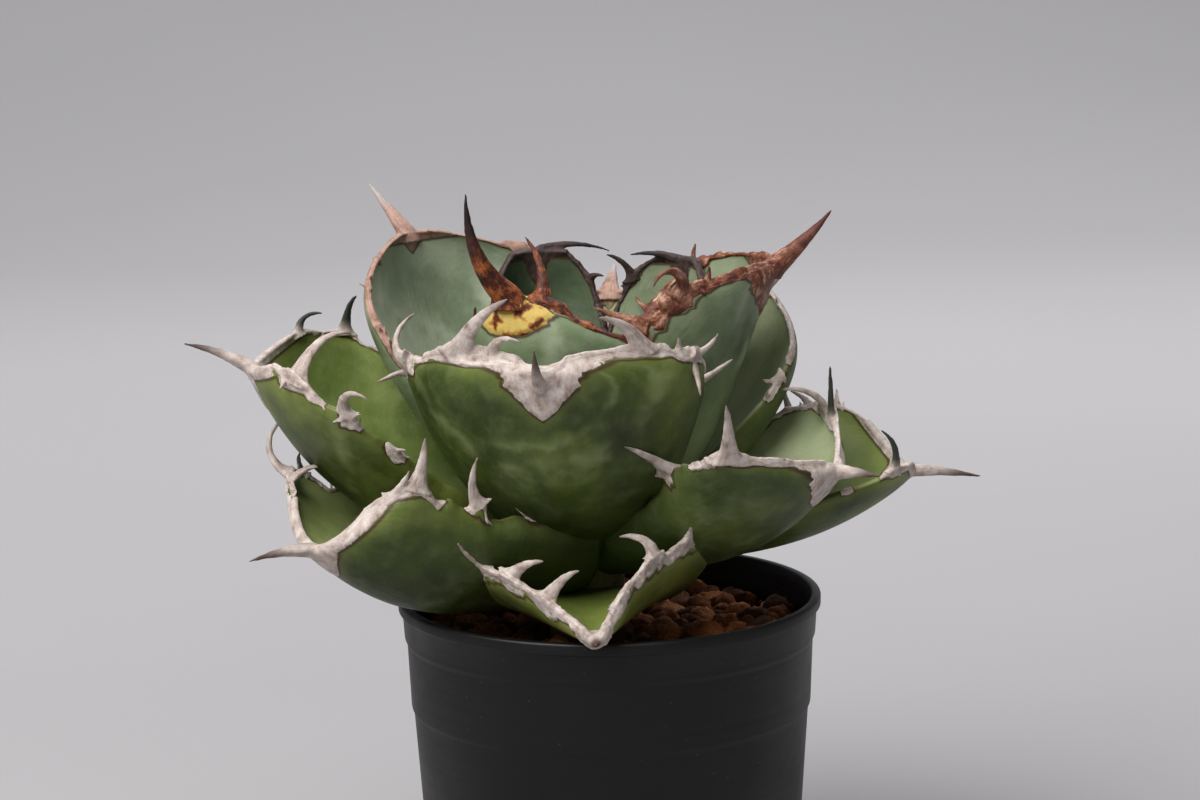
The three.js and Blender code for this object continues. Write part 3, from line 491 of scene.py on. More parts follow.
def blade_object(leaf):
    places = np.linspace(0, 1, BLADE_ROWS)
    t = (1 - (1 - places) ** 1.3)[:, None] * np.ones(BLADE_COLUMNS)
    u = np.sin(np.linspace(-math.pi / 2, math.pi / 2, BLADE_COLUMNS)) * np.ones(BLADE_ROWS)[:, None]
    width = half_width(leaf, t) * sided(leaf, "width", u)
    reached = u * (1 + each_edge(hump, leaf, t, u) / width * np.abs(u) ** 8)
    upper, normal = leaf_point(leaf, t, reached)
    under = upper - normal * leaf_thickness(leaf, t, u)[..., None]
    whole = each_edge(kept, leaf, t, u)
    to_edge = (1 - np.abs(u)) * width - each_edge(rim_cover, leaf, t, u) * whole
    to_cap = (cap_edge(leaf, u) - t) * leaf_length(leaf)
    horned = np.maximum(whole * (t > HORN_START), to_cap < 1.0)
    on_both = {key: np.tile(values.ravel(), 2) for key, values in {
        "along": t, "across": u, "to_edge": to_edge, "to_cap": to_cap, "horned": horned}.items()}
    inner = np.repeat([1.0, 0.0], t.size)
    faces = sheet_faces(BLADE_ROWS, BLADE_COLUMNS)
    return mesh_object(f"leaf_{leaf['name']}", both_faces(upper, under), faces, inner=inner, **on_both)


# Horny rims

class Lump:
    """Closed shapes gathered for one horny rim; each vertex knows its reach, kind and place in the fibre."""

    def __init__(self):
        self.vertices = np.zeros((0, 3))
        self.known = np.zeros((0, 4))
        self.faces = []

    def add(self, vertices, faces, reach, kind, fibre):
        vertices = vertices.reshape(-1, 3)
        known = np.empty((len(vertices), 4))
        known[:, 0] = np.ravel(reach)
        known[:, 1] = kind
        known[:, 2:] = fibre.reshape(-1, 2)
        self.faces += [tuple(len(self.vertices) + k for k in face) for face in faces]
        self.vertices = np.concatenate([self.vertices, vertices])
        self.known = np.concatenate([self.known, known])


def fibre_grid(along, around):
    return np.stack(np.broadcast_arrays(along[:, None], around[None]), -1)


def run_length(points):
    """How far along a line each of its points lies."""
    return np.concatenate([[0], np.cumsum(np.linalg.norm(np.diff(points, axis=0), axis=1))])


def oval_rings(centres, first, second, major, minor, angles, ridge=1.0):
    """Rings around a line of centres, major wide along the first way and minor along the second."""
    wide = major[:, None] * ridge * np.cos(angles)
    deep = minor[:, None] * ridge * np.sin(angles)
    return centres[:, None] + first[:, None] * wide[..., None] + second[:, None] * deep[..., None]


def add_strip(lump, leaf, sign):
    """The horny band that wraps the leaf's edge."""
    places = np.linspace(0, 1, STRIP_RINGS)
    t = HORN_START + (1 - HORN_START) * (1 - (1 - places) ** 1.35)
    seed = leaf["azimuth"] * 1.7 + sign
    middle, _, off, face = edge_frame(leaf, sign, t)
    whole = kept(leaf, sign, t)[:, None, None]
    cover = rim_cover(leaf, sign, t)
    size = strip_size(leaf, sign, t)
    bulge = 0.5 + 0.24 * wander(t * 55, seed) + 0.16 * wander(t * 150, seed + 1)
    out = size * (bulge + 0.11 * near_teeth(leaf, sign, t, 2.2))
    proud = size * (0.22 + 0.1 * wander(t * 80, seed + 2) + 0.02 * near_teeth(leaf, sign, t, 2.0))

    def over(inward, lift):
        place, normal = leaf_point(leaf, t, edge_u(leaf, sign, t, inward))
        return place + normal * lift[:, None]

    def below(inward, lift):
        u = edge_u(leaf, sign, t, inward)
        place, normal = leaf_point(leaf, t, u)
        depth = leaf_thickness(leaf, t, u)
        return place - normal * depth[:, None] + unit(off * 0.8 - normal) * lift[:, None]

    def beside(upward, outward):
        return middle + face * upward[:, None] + off * outward[:, None]

    flush = np.full_like(t, 0.02)
    half = EDGE_THICKNESS / 2
    ring = np.stack([
        over(cover, flush + 0.14 + 0.14 * size),
        over(cover * 0.5, proud + 0.16),
        beside(half + 0.16 + proud * 0.8, out * 0.55),
        beside(np.zeros_like(t), out * 1.15 + 0.14),
        beside(-(half + 0.13 + proud * 0.8), out * 0.6),
        below(cover * 0.35, proud * 1.25),
        below(cover * 0.8, proud * 1.1),
        below(cover * 1.15, flush),
        below(cover * 1.15, flush - 0.8),
        over(cover, flush - 0.7),
    ], 1)
    depth = leaf_thickness(leaf, t, edge_u(leaf, sign, t, BURIED))
    ring = ring * whole + over(BURIED, -depth / 2)[:, None] * (1 - whole)
    if sign < 0:
        ring = ring[:, ::-1]
    fibre = fibre_grid(run_length(middle), np.arange(STRIP_SIDES) * 0.6)
    lump.add(ring, tube_faces(STRIP_RINGS, STRIP_SIDES), 0.0, STRIP, fibre)


def add_horn(lump, root, directions, length, major, minor, flat_way, kind, sides=16, seed=0.0):
    """A tapered horn along a list of directions; major and minor are its half axes from root to tip."""
    steps = len(directions)
    between = unit(directions[:-1] + directions[1:])
    centres = root + np.concatenate([[np.zeros(3)], np.cumsum(between * (length / (steps - 1)), axis=0)])
    second = unit(flat_way - directions * np.sum(directions * flat_way, axis=1)[:, None])
    first = np.cross(second, directions)
    angles = np.arange(sides) / sides * TAU
    share = np.linspace(0, 1, steps)
    ridge = 1 + 0.09 * np.sin(3 * angles[None] + 3 * share[:, None] + seed) * (1 - share[:, None])
    ring = oval_rings(centres, first, second, major, minor, angles, ridge)
    fibre = fibre_grid(share * length, angles * major.max() * 1.3)
    lump.add(ring, tube_faces(steps, sides), np.repeat(share, sides), kind, fibre)


def add_tooth(lump, leaf, tooth, dark=0):
    sign, place, length, lean, curl, tilt, radius, arch = (*tooth, 0.0)[:8]
    middle, to_tip, off, face = edge_frame(leaf, sign, place)
    share = np.linspace(0, 1, HORN_STEPS)
    angle = np.radians(lean + curl * share)[:, None]
    inward = np.radians(tilt + arch * share)[:, None]
    directions = unit((off * np.cos(angle) + to_tip * np.sin(angle)) * np.cos(inward) + face * np.sin(inward))
    rooted = 0.5
    root = middle - unit(directions[0] * 0.6 + off * 0.4) * rooted
    flare = (0.15 * length + 0.35) * np.exp(-share / 0.11)
    body = 0.55 * radius + 0.035 * length
    major = body * (1 - share) ** 0.8 + flare + 0.15
    minor = body * 0.62 * (1 - share) ** 0.75 + 0.35 * np.exp(-share / 0.09) + 0.15
    across = unit(to_tip - directions * np.sum(directions * to_tip, axis=1)[:, None] + 0.02 * face)
    flat_way = np.cross(directions, across)
    add_horn(lump, root, directions, length + rooted, major, minor, flat_way, TOOTH + dark, seed=place * 9)


def little_hooks(leaf):
    """Small thorns and curls that stand between the large teeth."""
    draw = np.random.default_rng(1000 + leaf["azimuth"])
    hooks = []
    for sign in (LEFT, RIGHT):
        for place in draw.uniform(0.3, 0.97, leaf["hooks"]):
            length, radius = draw.uniform((0.7, 0.35), (1.9, 0.55))
            lean, curl, tilt = draw.uniform((-70, -140, -60), (70, 140, 40))
            if kept(leaf, sign, place) > 0.5:
                hooks.append((sign, place, length, lean, curl, tilt, radius))
    return hooks


def add_spine(lump, leaf):
    """The long spine at the leaf's tip, which leaves along the midrib and then takes its own way."""
    length, radius, rise_start, rise_end, swing_start, swing_end, drop = (*leaf["spine"], SPINE_DROP)[:7]
    point, along, _, face = midrib(leaf, 1.0)
    share = np.linspace(0, 1, HORN_STEPS)
    bent = np.clip((share - 0.08) / 0.92, 0, 1)
    rise = np.radians(rise_start + (rise_end - rise_start) * bent)
    swing = np.radians(leaf["azimuth"] + swing_start + (swing_end - swing_start) * bent)
    aimed = np.stack([np.cos(rise) * np.cos(swing), np.cos(rise) * np.sin(swing), np.sin(rise)], 1)
    blend = np.clip(1 - share / 0.16, 0, 1)[:, None]
    directions = unit(aimed * (1 - blend) + along * blend)
    root = point - along * drop - face * 0.7
    major = radius * (1 - share) ** 1.05 + 0.5 * radius * np.exp(-share / 0.09) + LEAST_HORN
    minor = radius * 0.85 * (1 - share) + LEAST_HORN
    add_horn(lump, root, directions, length + 2, major, minor, face + along * 0.3, SPINE, 20)


def add_cap(lump, leaf):
    """The horny patch that wraps the leaf's tip, with its point down the midrib."""
    spread = np.linspace(-1, 1, CAP_COLUMNS)
    u = (0.35 * spread + 0.65 * spread ** 3)[None] * np.ones(CAP_ROWS)[:, None]
    start = cap_edge(leaf, u)
    t = start + (1 - start) * np.linspace(0, 1, CAP_ROWS)[:, None]
    upper, normal = leaf_point(leaf, t, u)
    proud = 0.3 * np.clip((t - start) / CAP_BAND, 0.1, 1)
    under = upper - normal * (leaf_thickness(leaf, t, u) + proud)[..., None]
    upper = upper + normal * (proud * 0.7)[..., None]
    fibre = np.stack([t * leaf_length(leaf), u * half_width(leaf, t) * 0.4], -1).reshape(-1, 2)
    faces = sheet_faces(CAP_ROWS, CAP_COLUMNS)
    lump.add(both_faces(upper, under), faces, 0.0, CAP, np.tile(fibre, (2, 1)))


def add_tip_bar(lump, leaf):
    """The rim's thick edge across the leaf's blunt tip."""
    u = np.linspace(-1, 1, 40)
    t = np.ones_like(u)
    upper, normal = leaf_point(leaf, t, u)
    depth = leaf_thickness(leaf, t, u)
    middle = upper - normal * depth[:, None] / 2
    _, along, _, _ = midrib(leaf, t)
    half = 0.3 + 0.45 * leaf["strip"] * (1 + 0.25 * wander(u * 4, leaf["azimuth"]))
    angles = np.arange(STRIP_SIDES) / STRIP_SIDES * TAU
    ring = oval_rings(middle, along, normal, half, depth / 2 + 0.3, angles)
    fibre = fibre_grid(run_length(middle), angles * 0.6)
    lump.add(ring, tube_faces(len(u), STRIP_SIDES), 0.0, CAP, fibre)


def fused(name, lump, budget):
    """One body from closed shapes that overlap: fused, softened, thinned to a budget and roughened."""
    raw = mesh_object(name + "_raw", lump.vertices, lump.faces)
    remesh = raw.modifiers.new("fuse", "REMESH")
    remesh.mode = "VOXEL"
    remesh.voxel_size = VOXEL * MM
    soften = raw.modifiers.new("soften", "SMOOTH")
    soften.factor = 0.5
    soften.iterations = 3
    triangles = len(evaluated(raw).data.polygons) * 2
    if triangles > budget:
        thin = raw.modifiers.new("thin", "DECIMATE")
        thin.ratio = budget / triangles
    mesh = bpy.data.meshes.new_from_object(evaluated(raw))
    bpy.data.objects.remove(raw)
    mesh.name = name
    tree = KDTree(len(lump.vertices))
    for index, place in enumerate(lump.vertices * MM):
        tree.insert(place, index)
    tree.balance()
    reach, kind, along, around = lump.known[[tree.find(vertex.co)[1] for vertex in mesh.vertices]].T
    keep_values(mesh, reach=reach, kind=kind, along=along, around=around)
    places = np.zeros(len(mesh.vertices) * 3, np.float32)
    normals = np.zeros_like(places)
    mesh.vertices.foreach_get("co", places)
    mesh.vertices.foreach_get("normal", normals)
    places = places.reshape(-1, 3)

    def pits(size):
        return np.array([noise.noise(Vector(place) / (size * MM)) for place in places])

    rough = pits(1.1) * 0.5 + pits(0.45) * 0.3
    places += normals.reshape(-1, 3) * rough[:, None] * 0.15 * MM
    mesh.vertices.foreach_set("co", places.ravel())
    mesh.update()
    shade_smooth(mesh)
    return in_scene(name, mesh)


def rim_object(leaf):
    lump = Lump()
    add_strip(lump, leaf, RIGHT)
    add_strip(lump, leaf, LEFT)
    add_cap(lump, leaf)
    add_tip_bar(lump, leaf)
    add_spine(lump, leaf)
    for index, tooth in enumerate(leaf["teeth"]):
        add_tooth(lump, leaf, tooth, DARK if index in leaf["dark_teeth"] else 0)
    for hook in little_hooks(leaf):
        add_tooth(lump, leaf, hook)
    return fused(f"rim_{leaf['name']}", lump, RIM_TRIANGLES)


# Shaders

def feed(made, inputs):
    for key, value in inputs.items():
        if isinstance(value, Output):
            made.id_data.links.new(value.socket, made.inputs[key])
        elif value is not None:
            made.inputs[key].default_value = value


def node(tree, kind, inputs, **settings):
    made = tree.nodes.new(kind)
    for key, value in settings.items():
        setattr(made, key, value)
    feed(made, inputs)
    return made


class Output:
    """A node's output. Each sign and method adds a node that takes it, and gives back that node's output."""

    def __init__(self, socket):
        self.socket = socket

    def to(self, kind, inputs, part=0, **settings):
        return Output(node(self.socket.id_data, kind, inputs, **settings).outputs[part])

    def math(self, operation, other=None):
        return self.to("ShaderNodeMath", {0: self, 1: other}, operation=operation)

    def __add__(self, other):
        return self.math("ADD", other)

    def __sub__(self, other):
        return self.math("SUBTRACT", other)

    def __mul__(self, other):
        return self.math("MULTIPLY", other)

    def parts(self):
        made = node(self.socket.id_data, "ShaderNodeSeparateXYZ", {0: self})
        return [Output(socket) for socket in made.outputs]

    def noise(self, scale, detail=3.0, roughness=0.5):
        inputs = {"Vector": self, "Scale": scale, "Detail": detail, "Roughness": roughness}
        return self.to("ShaderNodeTexNoise", inputs)

    def spots(self, scale):
        return self.to("ShaderNodeTexVoronoi", {"Vector": self, "Scale": scale}, "Distance")

    def step(self, low, high, to_low=0.0, to_high=1.0):
        """A soft step from to_low to to_high as this goes from low to high."""
        inputs = {"Value": self, 1: low, 2: high, 3: to_low, 4: to_high}
        return self.to("ShaderNodeMapRange", inputs, interpolation_type="SMOOTHSTEP")

    def band(self, centre, width):
        """One on the centre, zero a width away from it."""
        return (self - centre).math("ABSOLUTE").step(0.0, width, 1.0, 0.0)

    def ramp(self, *stops):
        made = node(self.socket.id_data, "ShaderNodeValToRGB", {0: self})
        bar = made.color_ramp
        while len(bar.elements) < len(stops):
            bar.elements.new(0.5)
        for element, (place, colour) in zip(bar.elements, stops):
            element.position = place
            element.color = colour
        return Output(made.outputs[0])

    def under(self, *covers):
        """This colour under covers given as (factor, colour), the first one lowest."""
        tone = self
        for factor, colour in covers:
            tone = mix(factor, tone, colour)
        return tone


def mix(factor, a, b):
    return factor.to("ShaderNodeMix", {0: factor, 6: a, 7: b}, 2, data_type="RGBA")


def vector(x, y, z=0.0):
    return x.to("ShaderNodeCombineXYZ", {0: x, 1: y, 2: z})


class Surface:
    """A material under construction; place is the object's own coordinates in millimetres."""

    def __init__(self, name):
        self.material = bpy.data.materials.new(name)
        self.material.use_nodes = True
        self.tree = self.material.node_tree
        raw = Output(node(self.tree, "ShaderNodeTexCoord", {}).outputs["Object"])
        self.place = raw.to("ShaderNodeVectorMath", {0: raw, "Scale": 1 / MM}, operation="SCALE")

    def known(self, name):
        """What the mesh knows under a name."""
        return Output(node(self.tree, "ShaderNodeAttribute", {}, attribute_name=name).outputs["Fac"])

    def done(self, colour, roughness, *bumps, specular=None, **subsurface):
        """The finished material; a bump is a height, a strength and a depth in millimetres."""
        normal = None
        for height, strength, depth in bumps:
            inputs = {"Height": height, "Strength": strength, "Distance": depth * MM, "Normal": normal}
            normal = height.to("ShaderNodeBump", inputs)
        inputs = {"Subsurface " + key: value for key, value in subsurface.items()}
        inputs.update({"Base Color": colour, "Roughness": roughness, "Normal": normal})
        inputs["Specular IOR Level"] = specular
        feed(self.tree.nodes["Principled BSDF"], inputs)
        return self.material


def rgb(red, green, blue):
    """An 0-255 screen colour as a linear one."""
    def linear(value):
        value /= 255
        return value / 12.92 if value <= 0.04045 else ((value + 0.055) / 1.055) ** 2.4
    return (linear(red), linear(green), linear(blue), 1.0)


# Screen colours of the skins, outside dark, middle and light, inside dark and light, and the bloom. Some
# inside colours, and the whole of one skin, are painted lighter to stand in for light on faces that lie in
# shade.
SKINS = {
    # partly painted light: the inside colours are the leaf's paler inner face, raised further to stand in for
    # light on inner faces in shade
    "outer_green": (
        (35, 46, 13), (62, 76, 28), (108, 120, 58), (124, 138, 80), (168, 178, 118), (152, 162, 116)),
    "yellow_green": (
        (40, 52, 14), (76, 90, 32), (124, 136, 62), (78, 94, 40), (124, 136, 74), (150, 160, 112)),
    # painted light: yellow_green painted lighter all over, for a leaf whose outer face lies in shade
    "yellow_green_painted_lit": (
        (74, 84, 30), (108, 118, 48), (142, 150, 76), (88, 102, 40), (126, 138, 68), (156, 164, 112)),
    # painted light: the inside colours are painted far lighter than the outside, for inner faces that lie in
    # shade
    "grey_green_painted_lit_inside": (
        (38, 52, 19), (62, 76, 33), (102, 114, 60), (138, 150, 110), (178, 186, 150), (158, 168, 134)),
    "blue_green": (
        (78, 94, 64), (108, 124, 92), (146, 158, 126), (96, 110, 80), (146, 156, 128), (186, 192, 168)),
    # painted light: blue_green with the inside colours painted lighter, for an inner face that lies in shade
    "blue_green_painted_lit_inside": (
        (78, 94, 64), (108, 124, 92), (146, 158, 126), (116, 130, 104), (166, 174, 150), (196, 200, 180)),
    "shade_green": (
        (38, 50, 32), (58, 72, 48), (86, 98, 70), (42, 56, 38), (80, 94, 68), (110, 120, 98)),
}
MAROON = rgb(62, 28, 22)


def skin_material(leaf):
    skin = Surface(f"skin_{leaf['name']}")
    dark, middle, light, inner_dark, inner_light, bloom = (rgb(*colour) for colour in SKINS[leaf["skin"]])
    along, across, inner = (skin.known(name) for name in ("along", "across", "inner"))
    broad = skin.place.noise(0.06, 4.0, 0.55)
    cloud = skin.place.noise(0.21, 4.0, 0.6)
    grain = skin.place.noise(3.2, 2.0, 0.6)
    streak = vector(across * 26.0, along * 2.2, inner).noise(1.0)
    inside = broad.ramp((0.32, inner_dark), (0.7, inner_light))
    mottle = cloud.step(0.42, 0.8, 0.0, 0.18)
    # painted shade: the colour darkens towards the leaf's foot, where the leaves above shade it
    foot = along.step(0.05, 0.6, 0.7, 0.0)
    tone = broad.ramp((0.34, dark), (0.52, middle), (0.72, light))
    tone = tone.under((inner, inside), (mottle, bloom), (foot, dark))
    warped = along + (cloud - 0.5) * 0.12
    prints = None
    for low, lean, curve, width, strength in leaf["imprints"]:
        bowl = across * across * curve + across * lean
        line = (warped - bowl).band(low, width) * strength
        prints = prints.math("MAXIMUM", line) if prints else line
    pressed = []
    if prints:
        prints = prints * skin.place.noise(0.12, 2.0).step(0.38, 0.6)
        pressed.append((prints, 0.5, 0.35))
        tone = tone.under((prints, bloom))
    streaks = streak.step(0.5, 0.85, 0.0, 0.14)
    speck = skin.place.spots(0.9).step(0.02, 0.09, 0.5, 0.0)
    border = skin.known("to_edge").math("MINIMUM", skin.known("to_cap"))
    pale_rim = border.step(0.3, 3.5, 0.35, 0.0)
    line = border.band(0.1, 0.5) * skin.known("horned").step(0.3, 0.7, 0.22, 0.85)
    tone = tone.under((streaks, dark), (speck, light), (pale_rim, light), (line, MAROON))
    return skin.done(tone, cloud.step(0.2, 0.8, 0.4, 0.58), (grain, 0.18, 0.12), (streak, 0.25, 0.35),
                     *pressed, (cloud, 0.35, 0.8), specular=0.3,
                     Weight=0.12, Scale=0.0025, Radius=(0.7, 1.0, 0.3))


# Screen colours of the horns: pale, middle, shaded, crack and tip
HORNS = {
    "horn_pale": ((206, 194, 187), (172, 155, 146), (122, 102, 92), (84, 64, 56), (80, 62, 56)),
    "horn_rust": ((178, 142, 126), (136, 102, 88), (84, 58, 48), (44, 26, 21), (176, 164, 160)),
    "horn_tan": ((202, 164, 140), (130, 76, 55), (74, 36, 27), (34, 17, 14), (86, 40, 32)),
    "horn_amber": ((172, 98, 48), (80, 34, 20), (50, 21, 16), (22, 10, 9), (30, 17, 17)),
    "horn_mahogany": ((72, 54, 50), (44, 34, 34), (28, 24, 27), (16, 13, 15), (24, 28, 34)),
}
# Where shaded, middle and pale lie in a horn's mottling
USUAL_STOPS = (0.3, 0.42, 0.56)
HORN_STOPS = {
    "horn_pale": (0.34, 0.45, 0.58), "horn_tan": (0.42, 0.52, 0.64), "horn_amber": (0.42, 0.5, 0.6),
}
# The tip patch where it isn't coloured as the rest: dark, middle and light, and where they lie
PATCHES = {"horn_amber": ((88, 42, 24), (184, 126, 60), (210, 182, 100))}
PATCH_STOPS = (0.36, 0.43, 0.5)
GREY_TOOTH = rgb(56, 60, 54)


def horn_material(name):
    pale, middle, shaded, crack, tip = (rgb(*colour) for colour in HORNS[name])
    horn = Surface(name)
    kind = horn.known("kind")
    strands = vector(horn.known("along") * 0.35, horn.known("around") * 2.6).noise(1.0, 5.0, 0.65)
    cloud = horn.place.noise(0.45, 4.0, 0.6)
    fine = horn.place.noise(2.6, 4.0, 0.7)
    stops = zip(HORN_STOPS.get(name, USUAL_STOPS), (shaded, middle, pale))
    tone = (strands * 0.55 + cloud * 0.45).ramp(*stops)
    tone = tone.under((strands.step(0.33, 0.27, 0.0, 0.7), crack), (fine.step(0.55, 0.8, 0.0, 0.25), shaded))
    if name in PATCHES:
        colours = [rgb(*colour) for colour in PATCHES[name]]
        patch = horn.place.noise(0.4, 2.0).ramp(*zip(PATCH_STOPS, colours))
        tone = tone.under((kind.band(float(CAP), 0.6), patch))
    uneven = horn.known("reach") + (strands - 0.5) * 0.3
    dark_spine = uneven.step(0.35, 0.85) * kind.band(float(SPINE), 0.6)
    dark_tooth = uneven.step(0.72, 1.0, 0.0, 0.55)
    grey = kind.step(DARK - 2.0, DARK - 1.0) * uneven.step(0.05, 0.35)
    tone = tone.under((dark_spine.math("MAXIMUM", dark_tooth), tip), (grey, GREY_TOOTH))
    return horn.done(tone, cloud.step(0.2, 0.8, 0.42, 0.66), (strands, 0.4, 0.2), (fine, 0.25, 0.1),
                     (cloud, 0.4, 0.5), specular=0.35)


def pot_material():
    pot = Surface("pot_black")
    x, y, z = pot.place.parts()
    cloud = pot.place.noise(0.05, 5.0, 0.6)
    fine = pot.place.noise(1.6, 3.0, 0.6)
    ringed = vector(x * 0.01, y * 0.01, z).noise(0.5)
    scuffed = vector(x * 0.15, y * 0.15, z * 2.6).noise(1.0, 4.0, 0.7).step(0.68, 0.74, 0.0, 0.3)
    dust = pot.place.spots(0.35).step(0.02, 0.07, 0.3, 0.0)
    tone = cloud.ramp((0.3, rgb(7, 7, 8)), (0.7, rgb(11, 11, 12)))
    tone = tone.under((scuffed, rgb(34, 34, 34)), (dust, rgb(110, 92, 78)))
    gloss = cloud.step(0.25, 0.75, 0.4, 0.55)
    return pot.done(tone, gloss, (ringed, 0.35, 0.5), (fine, 0.1, 0.06), specular=0.3)


def grit_material():
    grit = Surface("grit_clay")
    coarse = grit.place.noise(0.9, 4.0, 0.65)
    fine = grit.place.noise(4.5, 3.0, 0.7)
    tone = (grit.known("tint") + (coarse - 0.5) * 0.4).ramp(
        (0.05, rgb(84, 50, 30)), (0.35, rgb(148, 88, 50)), (0.65, rgb(192, 120, 70)),
        (0.88, rgb(210, 148, 94)), (0.97, rgb(222, 192, 158)))
    tone = tone.under((fine.step(0.42, 0.66, 0.0, 0.6), rgb(36, 21, 13)))
    return grit.done(tone, 0.9, (fine, 0.9, 0.4), (coarse, 0.8, 0.8), specular=0.2)


def stem_material():
    bark = Surface("stem_bark")
    tone = bark.place.noise(0.5, 4.0, 0.6).ramp(
        (0.3, rgb(88, 78, 48)), (0.6, rgb(128, 122, 78)), (0.8, rgb(92, 66, 44)))
    return bark.done(tone, 0.75, (bark.place.noise(2.2, 4.0, 0.7), 0.6, 0.3))


def studio_material():
    paper = Surface("studio_paper_painted_falloff")
    _, depth, _ = paper.place.parts()
    # painted light: the paper is painted darker at and in front of the plant and lighter from 800 mm behind
    # it, standing in for the fall-off of the lamps' light
    tone = mix(depth.step(0.0, 800.0), rgb(162, 160, 162), rgb(197, 195, 197))
    tone = tone.under((paper.place.noise(0.004, 2.0).step(0.3, 0.7, 0.0, 0.06), rgb(221, 219, 221)))
    return paper.done(tone, 0.95, (paper.place.noise(0.8, 2.0), 0.03, 0.1), specular=0.1)


# Pot, soil and stem

def pot_radius(height):
    return FOOT_RADIUS + (RIM_RADIUS - LIP_OUT - FOOT_RADIUS) * height / POT_HEIGHT


def pot_bore(height):
    """The pot's inner radius."""
    bottom = FOOT_RADIUS - WALL - BAND_STEP
    share = (height - FLOOR_TOP) / (LIP_FOOT - FLOOR_TOP)
    return bottom + (pot_radius(LIP_FOOT) - WALL - BAND_STEP - bottom) * share


def lathe_object(name, profile, sides, centre=(0.0, 0.0)):
    """A closed turned shape from a profile of (radius, height) that starts and ends on the axis."""
    rings = np.array(profile[1:-1], float)
    angles = np.arange(sides) / sides * TAU
    circle = np.stack([np.cos(angles), np.sin(angles)], 1)
    points = np.zeros((len(rings), sides, 3))
    points[..., :2] = rings[:, :1, None] * circle[None] + np.array(centre)
    points[..., 2] = rings[:, 1:]
    vertices = [*points.reshape(-1, 3), (*centre, profile[0][1]), (*centre, profile[-1][1])]
    faces = ring_faces(len(rings), sides)
    last = (len(rings) - 1) * sides
    foot = last + sides
    for j in range(sides):
        faces.append((foot, (j + 1) % sides, j))
        faces.append((foot + 1, last + j, last + (j + 1) % sides))
    return mesh_object(name, vertices, faces)


def drill(piece, centre, radius, low, high):
    cutter = lathe_object("drill", [(0, low), (radius, low), (radius, high), (0, high)], 32, centre)
    cut = piece.modifiers.new("drill", "BOOLEAN")
    cut.operation = "DIFFERENCE"
    cut.solver = "EXACT"
    cut.object = cutter
    mesh = bpy.data.meshes.new_from_object(evaluated(piece))
    piece.modifiers.clear()
    piece.data = mesh
    bpy.data.objects.remove(cutter)


def arc(centre, radius, start, end, steps):
    """Points of a small round between two profile lines, angles in degrees."""
    angles = np.radians(np.linspace(start, end, steps))
    return [(centre[0] + radius * math.cos(a), centre[1] + radius * math.sin(a)) for a in angles]


def pot_object():
    outer = [(0, 0), (FOOT_RADIUS - 3, 0)]
    outer += arc((FOOT_RADIUS - FOOT_ROUND, FOOT_ROUND), FOOT_ROUND, -90, 0, 5)
    for depth in reversed(BAND_DEPTHS):
        for step in np.linspace(-1, 1, 7):
            ease = 0.5 - 0.5 * math.sin(step * math.pi / 2)
            height = POT_HEIGHT - depth + step * BAND_HALF
            outer.append((pot_radius(height) - BAND_STEP * ease, height))
    outer.append((pot_radius(LIP_FOOT) - 0.05, LIP_FOOT - 0.3))
    outer += arc((RIM_RADIUS - LIP_LOWER_ROUND, LIP_FOOT + 0.45), LIP_LOWER_ROUND, -60, 0, 4)
    outer += arc((RIM_RADIUS - LIP_ROUND, POT_HEIGHT - LIP_ROUND), LIP_ROUND, 0, 90, 6)
    mouth = RIM_RADIUS - LIP_OUT - WALL
    inner = arc((mouth + MOUTH_ROUND, POT_HEIGHT - MOUTH_ROUND), MOUTH_ROUND, 90, 180, 6)
    inner += [(pot_radius(height) - WALL - BAND_STEP, height) for height in (LIP_FOOT, 40)]
    inner += [(FOOT_RADIUS - WALL - BAND_STEP, FLOOR_TOP), (0, WALL + 0.3)]
    pot = lathe_object("pot_shell", outer + inner, 160)
    for k in range(DRAIN_COUNT):
        angle = TAU * k / DRAIN_COUNT + 0.3
        centre = (DRAIN_CIRCLE * math.cos(angle), DRAIN_CIRCLE * math.sin(angle))
        drill(pot, centre, DRAIN_RADIUS, -2, WALL + 3)
    shade_smooth(pot.data)
    return pot


def grain_shape(subdivisions):
    """Corners and faces of a round grain."""
    ball = bmesh.new()
    bmesh.ops.create_icosphere(ball, subdivisions=subdivisions, radius=1.0)
    corners = np.array([vertex.co for vertex in ball.verts])
    faces = [tuple(vertex.index for vertex in face.verts) for face in ball.faces]
    ball.free()
    return corners, faces


def scattered(draw, count, reach):
    """Repeatable points spread evenly over the soil, clear of the stem."""
    golden_angle = math.pi * (3 - math.sqrt(5))
    points = []
    for k in range(count):
        ring = reach * math.sqrt((k + 0.5) / count)
        angle = golden_angle * k + draw.uniform(-0.15, 0.15)
        point = np.array([ring * math.cos(angle), ring * math.sin(angle)])
        if np.hypot(*(point - PLANT_AXIS)) > STEM_RADIUS + 1.0:
            points.append(point)
    return points


def grain(draw, corners):
    """One knobbly grain of about radius 1: flattened on five sides, lumpy, stretched and turned."""
    stretch = np.array([draw.uniform(0.8, 1.2), draw.uniform(0.8, 1.15), draw.uniform(0.65, 0.95)])
    turn = np.array(Matrix.Rotation(draw.uniform(0, TAU), 3, Vector(draw.normal(size=3)).normalized()))
    knobs = np.ones(len(corners))
    for _ in range(5):
        way = unit(draw.normal(size=3))
        flat = draw.uniform(0.55, 0.9)
        reach = corners @ way
        knobs = np.where(reach > flat, knobs * (flat / np.maximum(reach, 1e-6)) ** 0.9, knobs)
    lumps = 1
    for height, waves in ((0.07, 4), (0.06, 9)):
        lumps = lumps + height * np.sin(corners @ draw.normal(size=3) * waves + draw.uniform(0, 6))
    return (corners * (knobs * lumps)[:, None] * stretch) @ turn.T


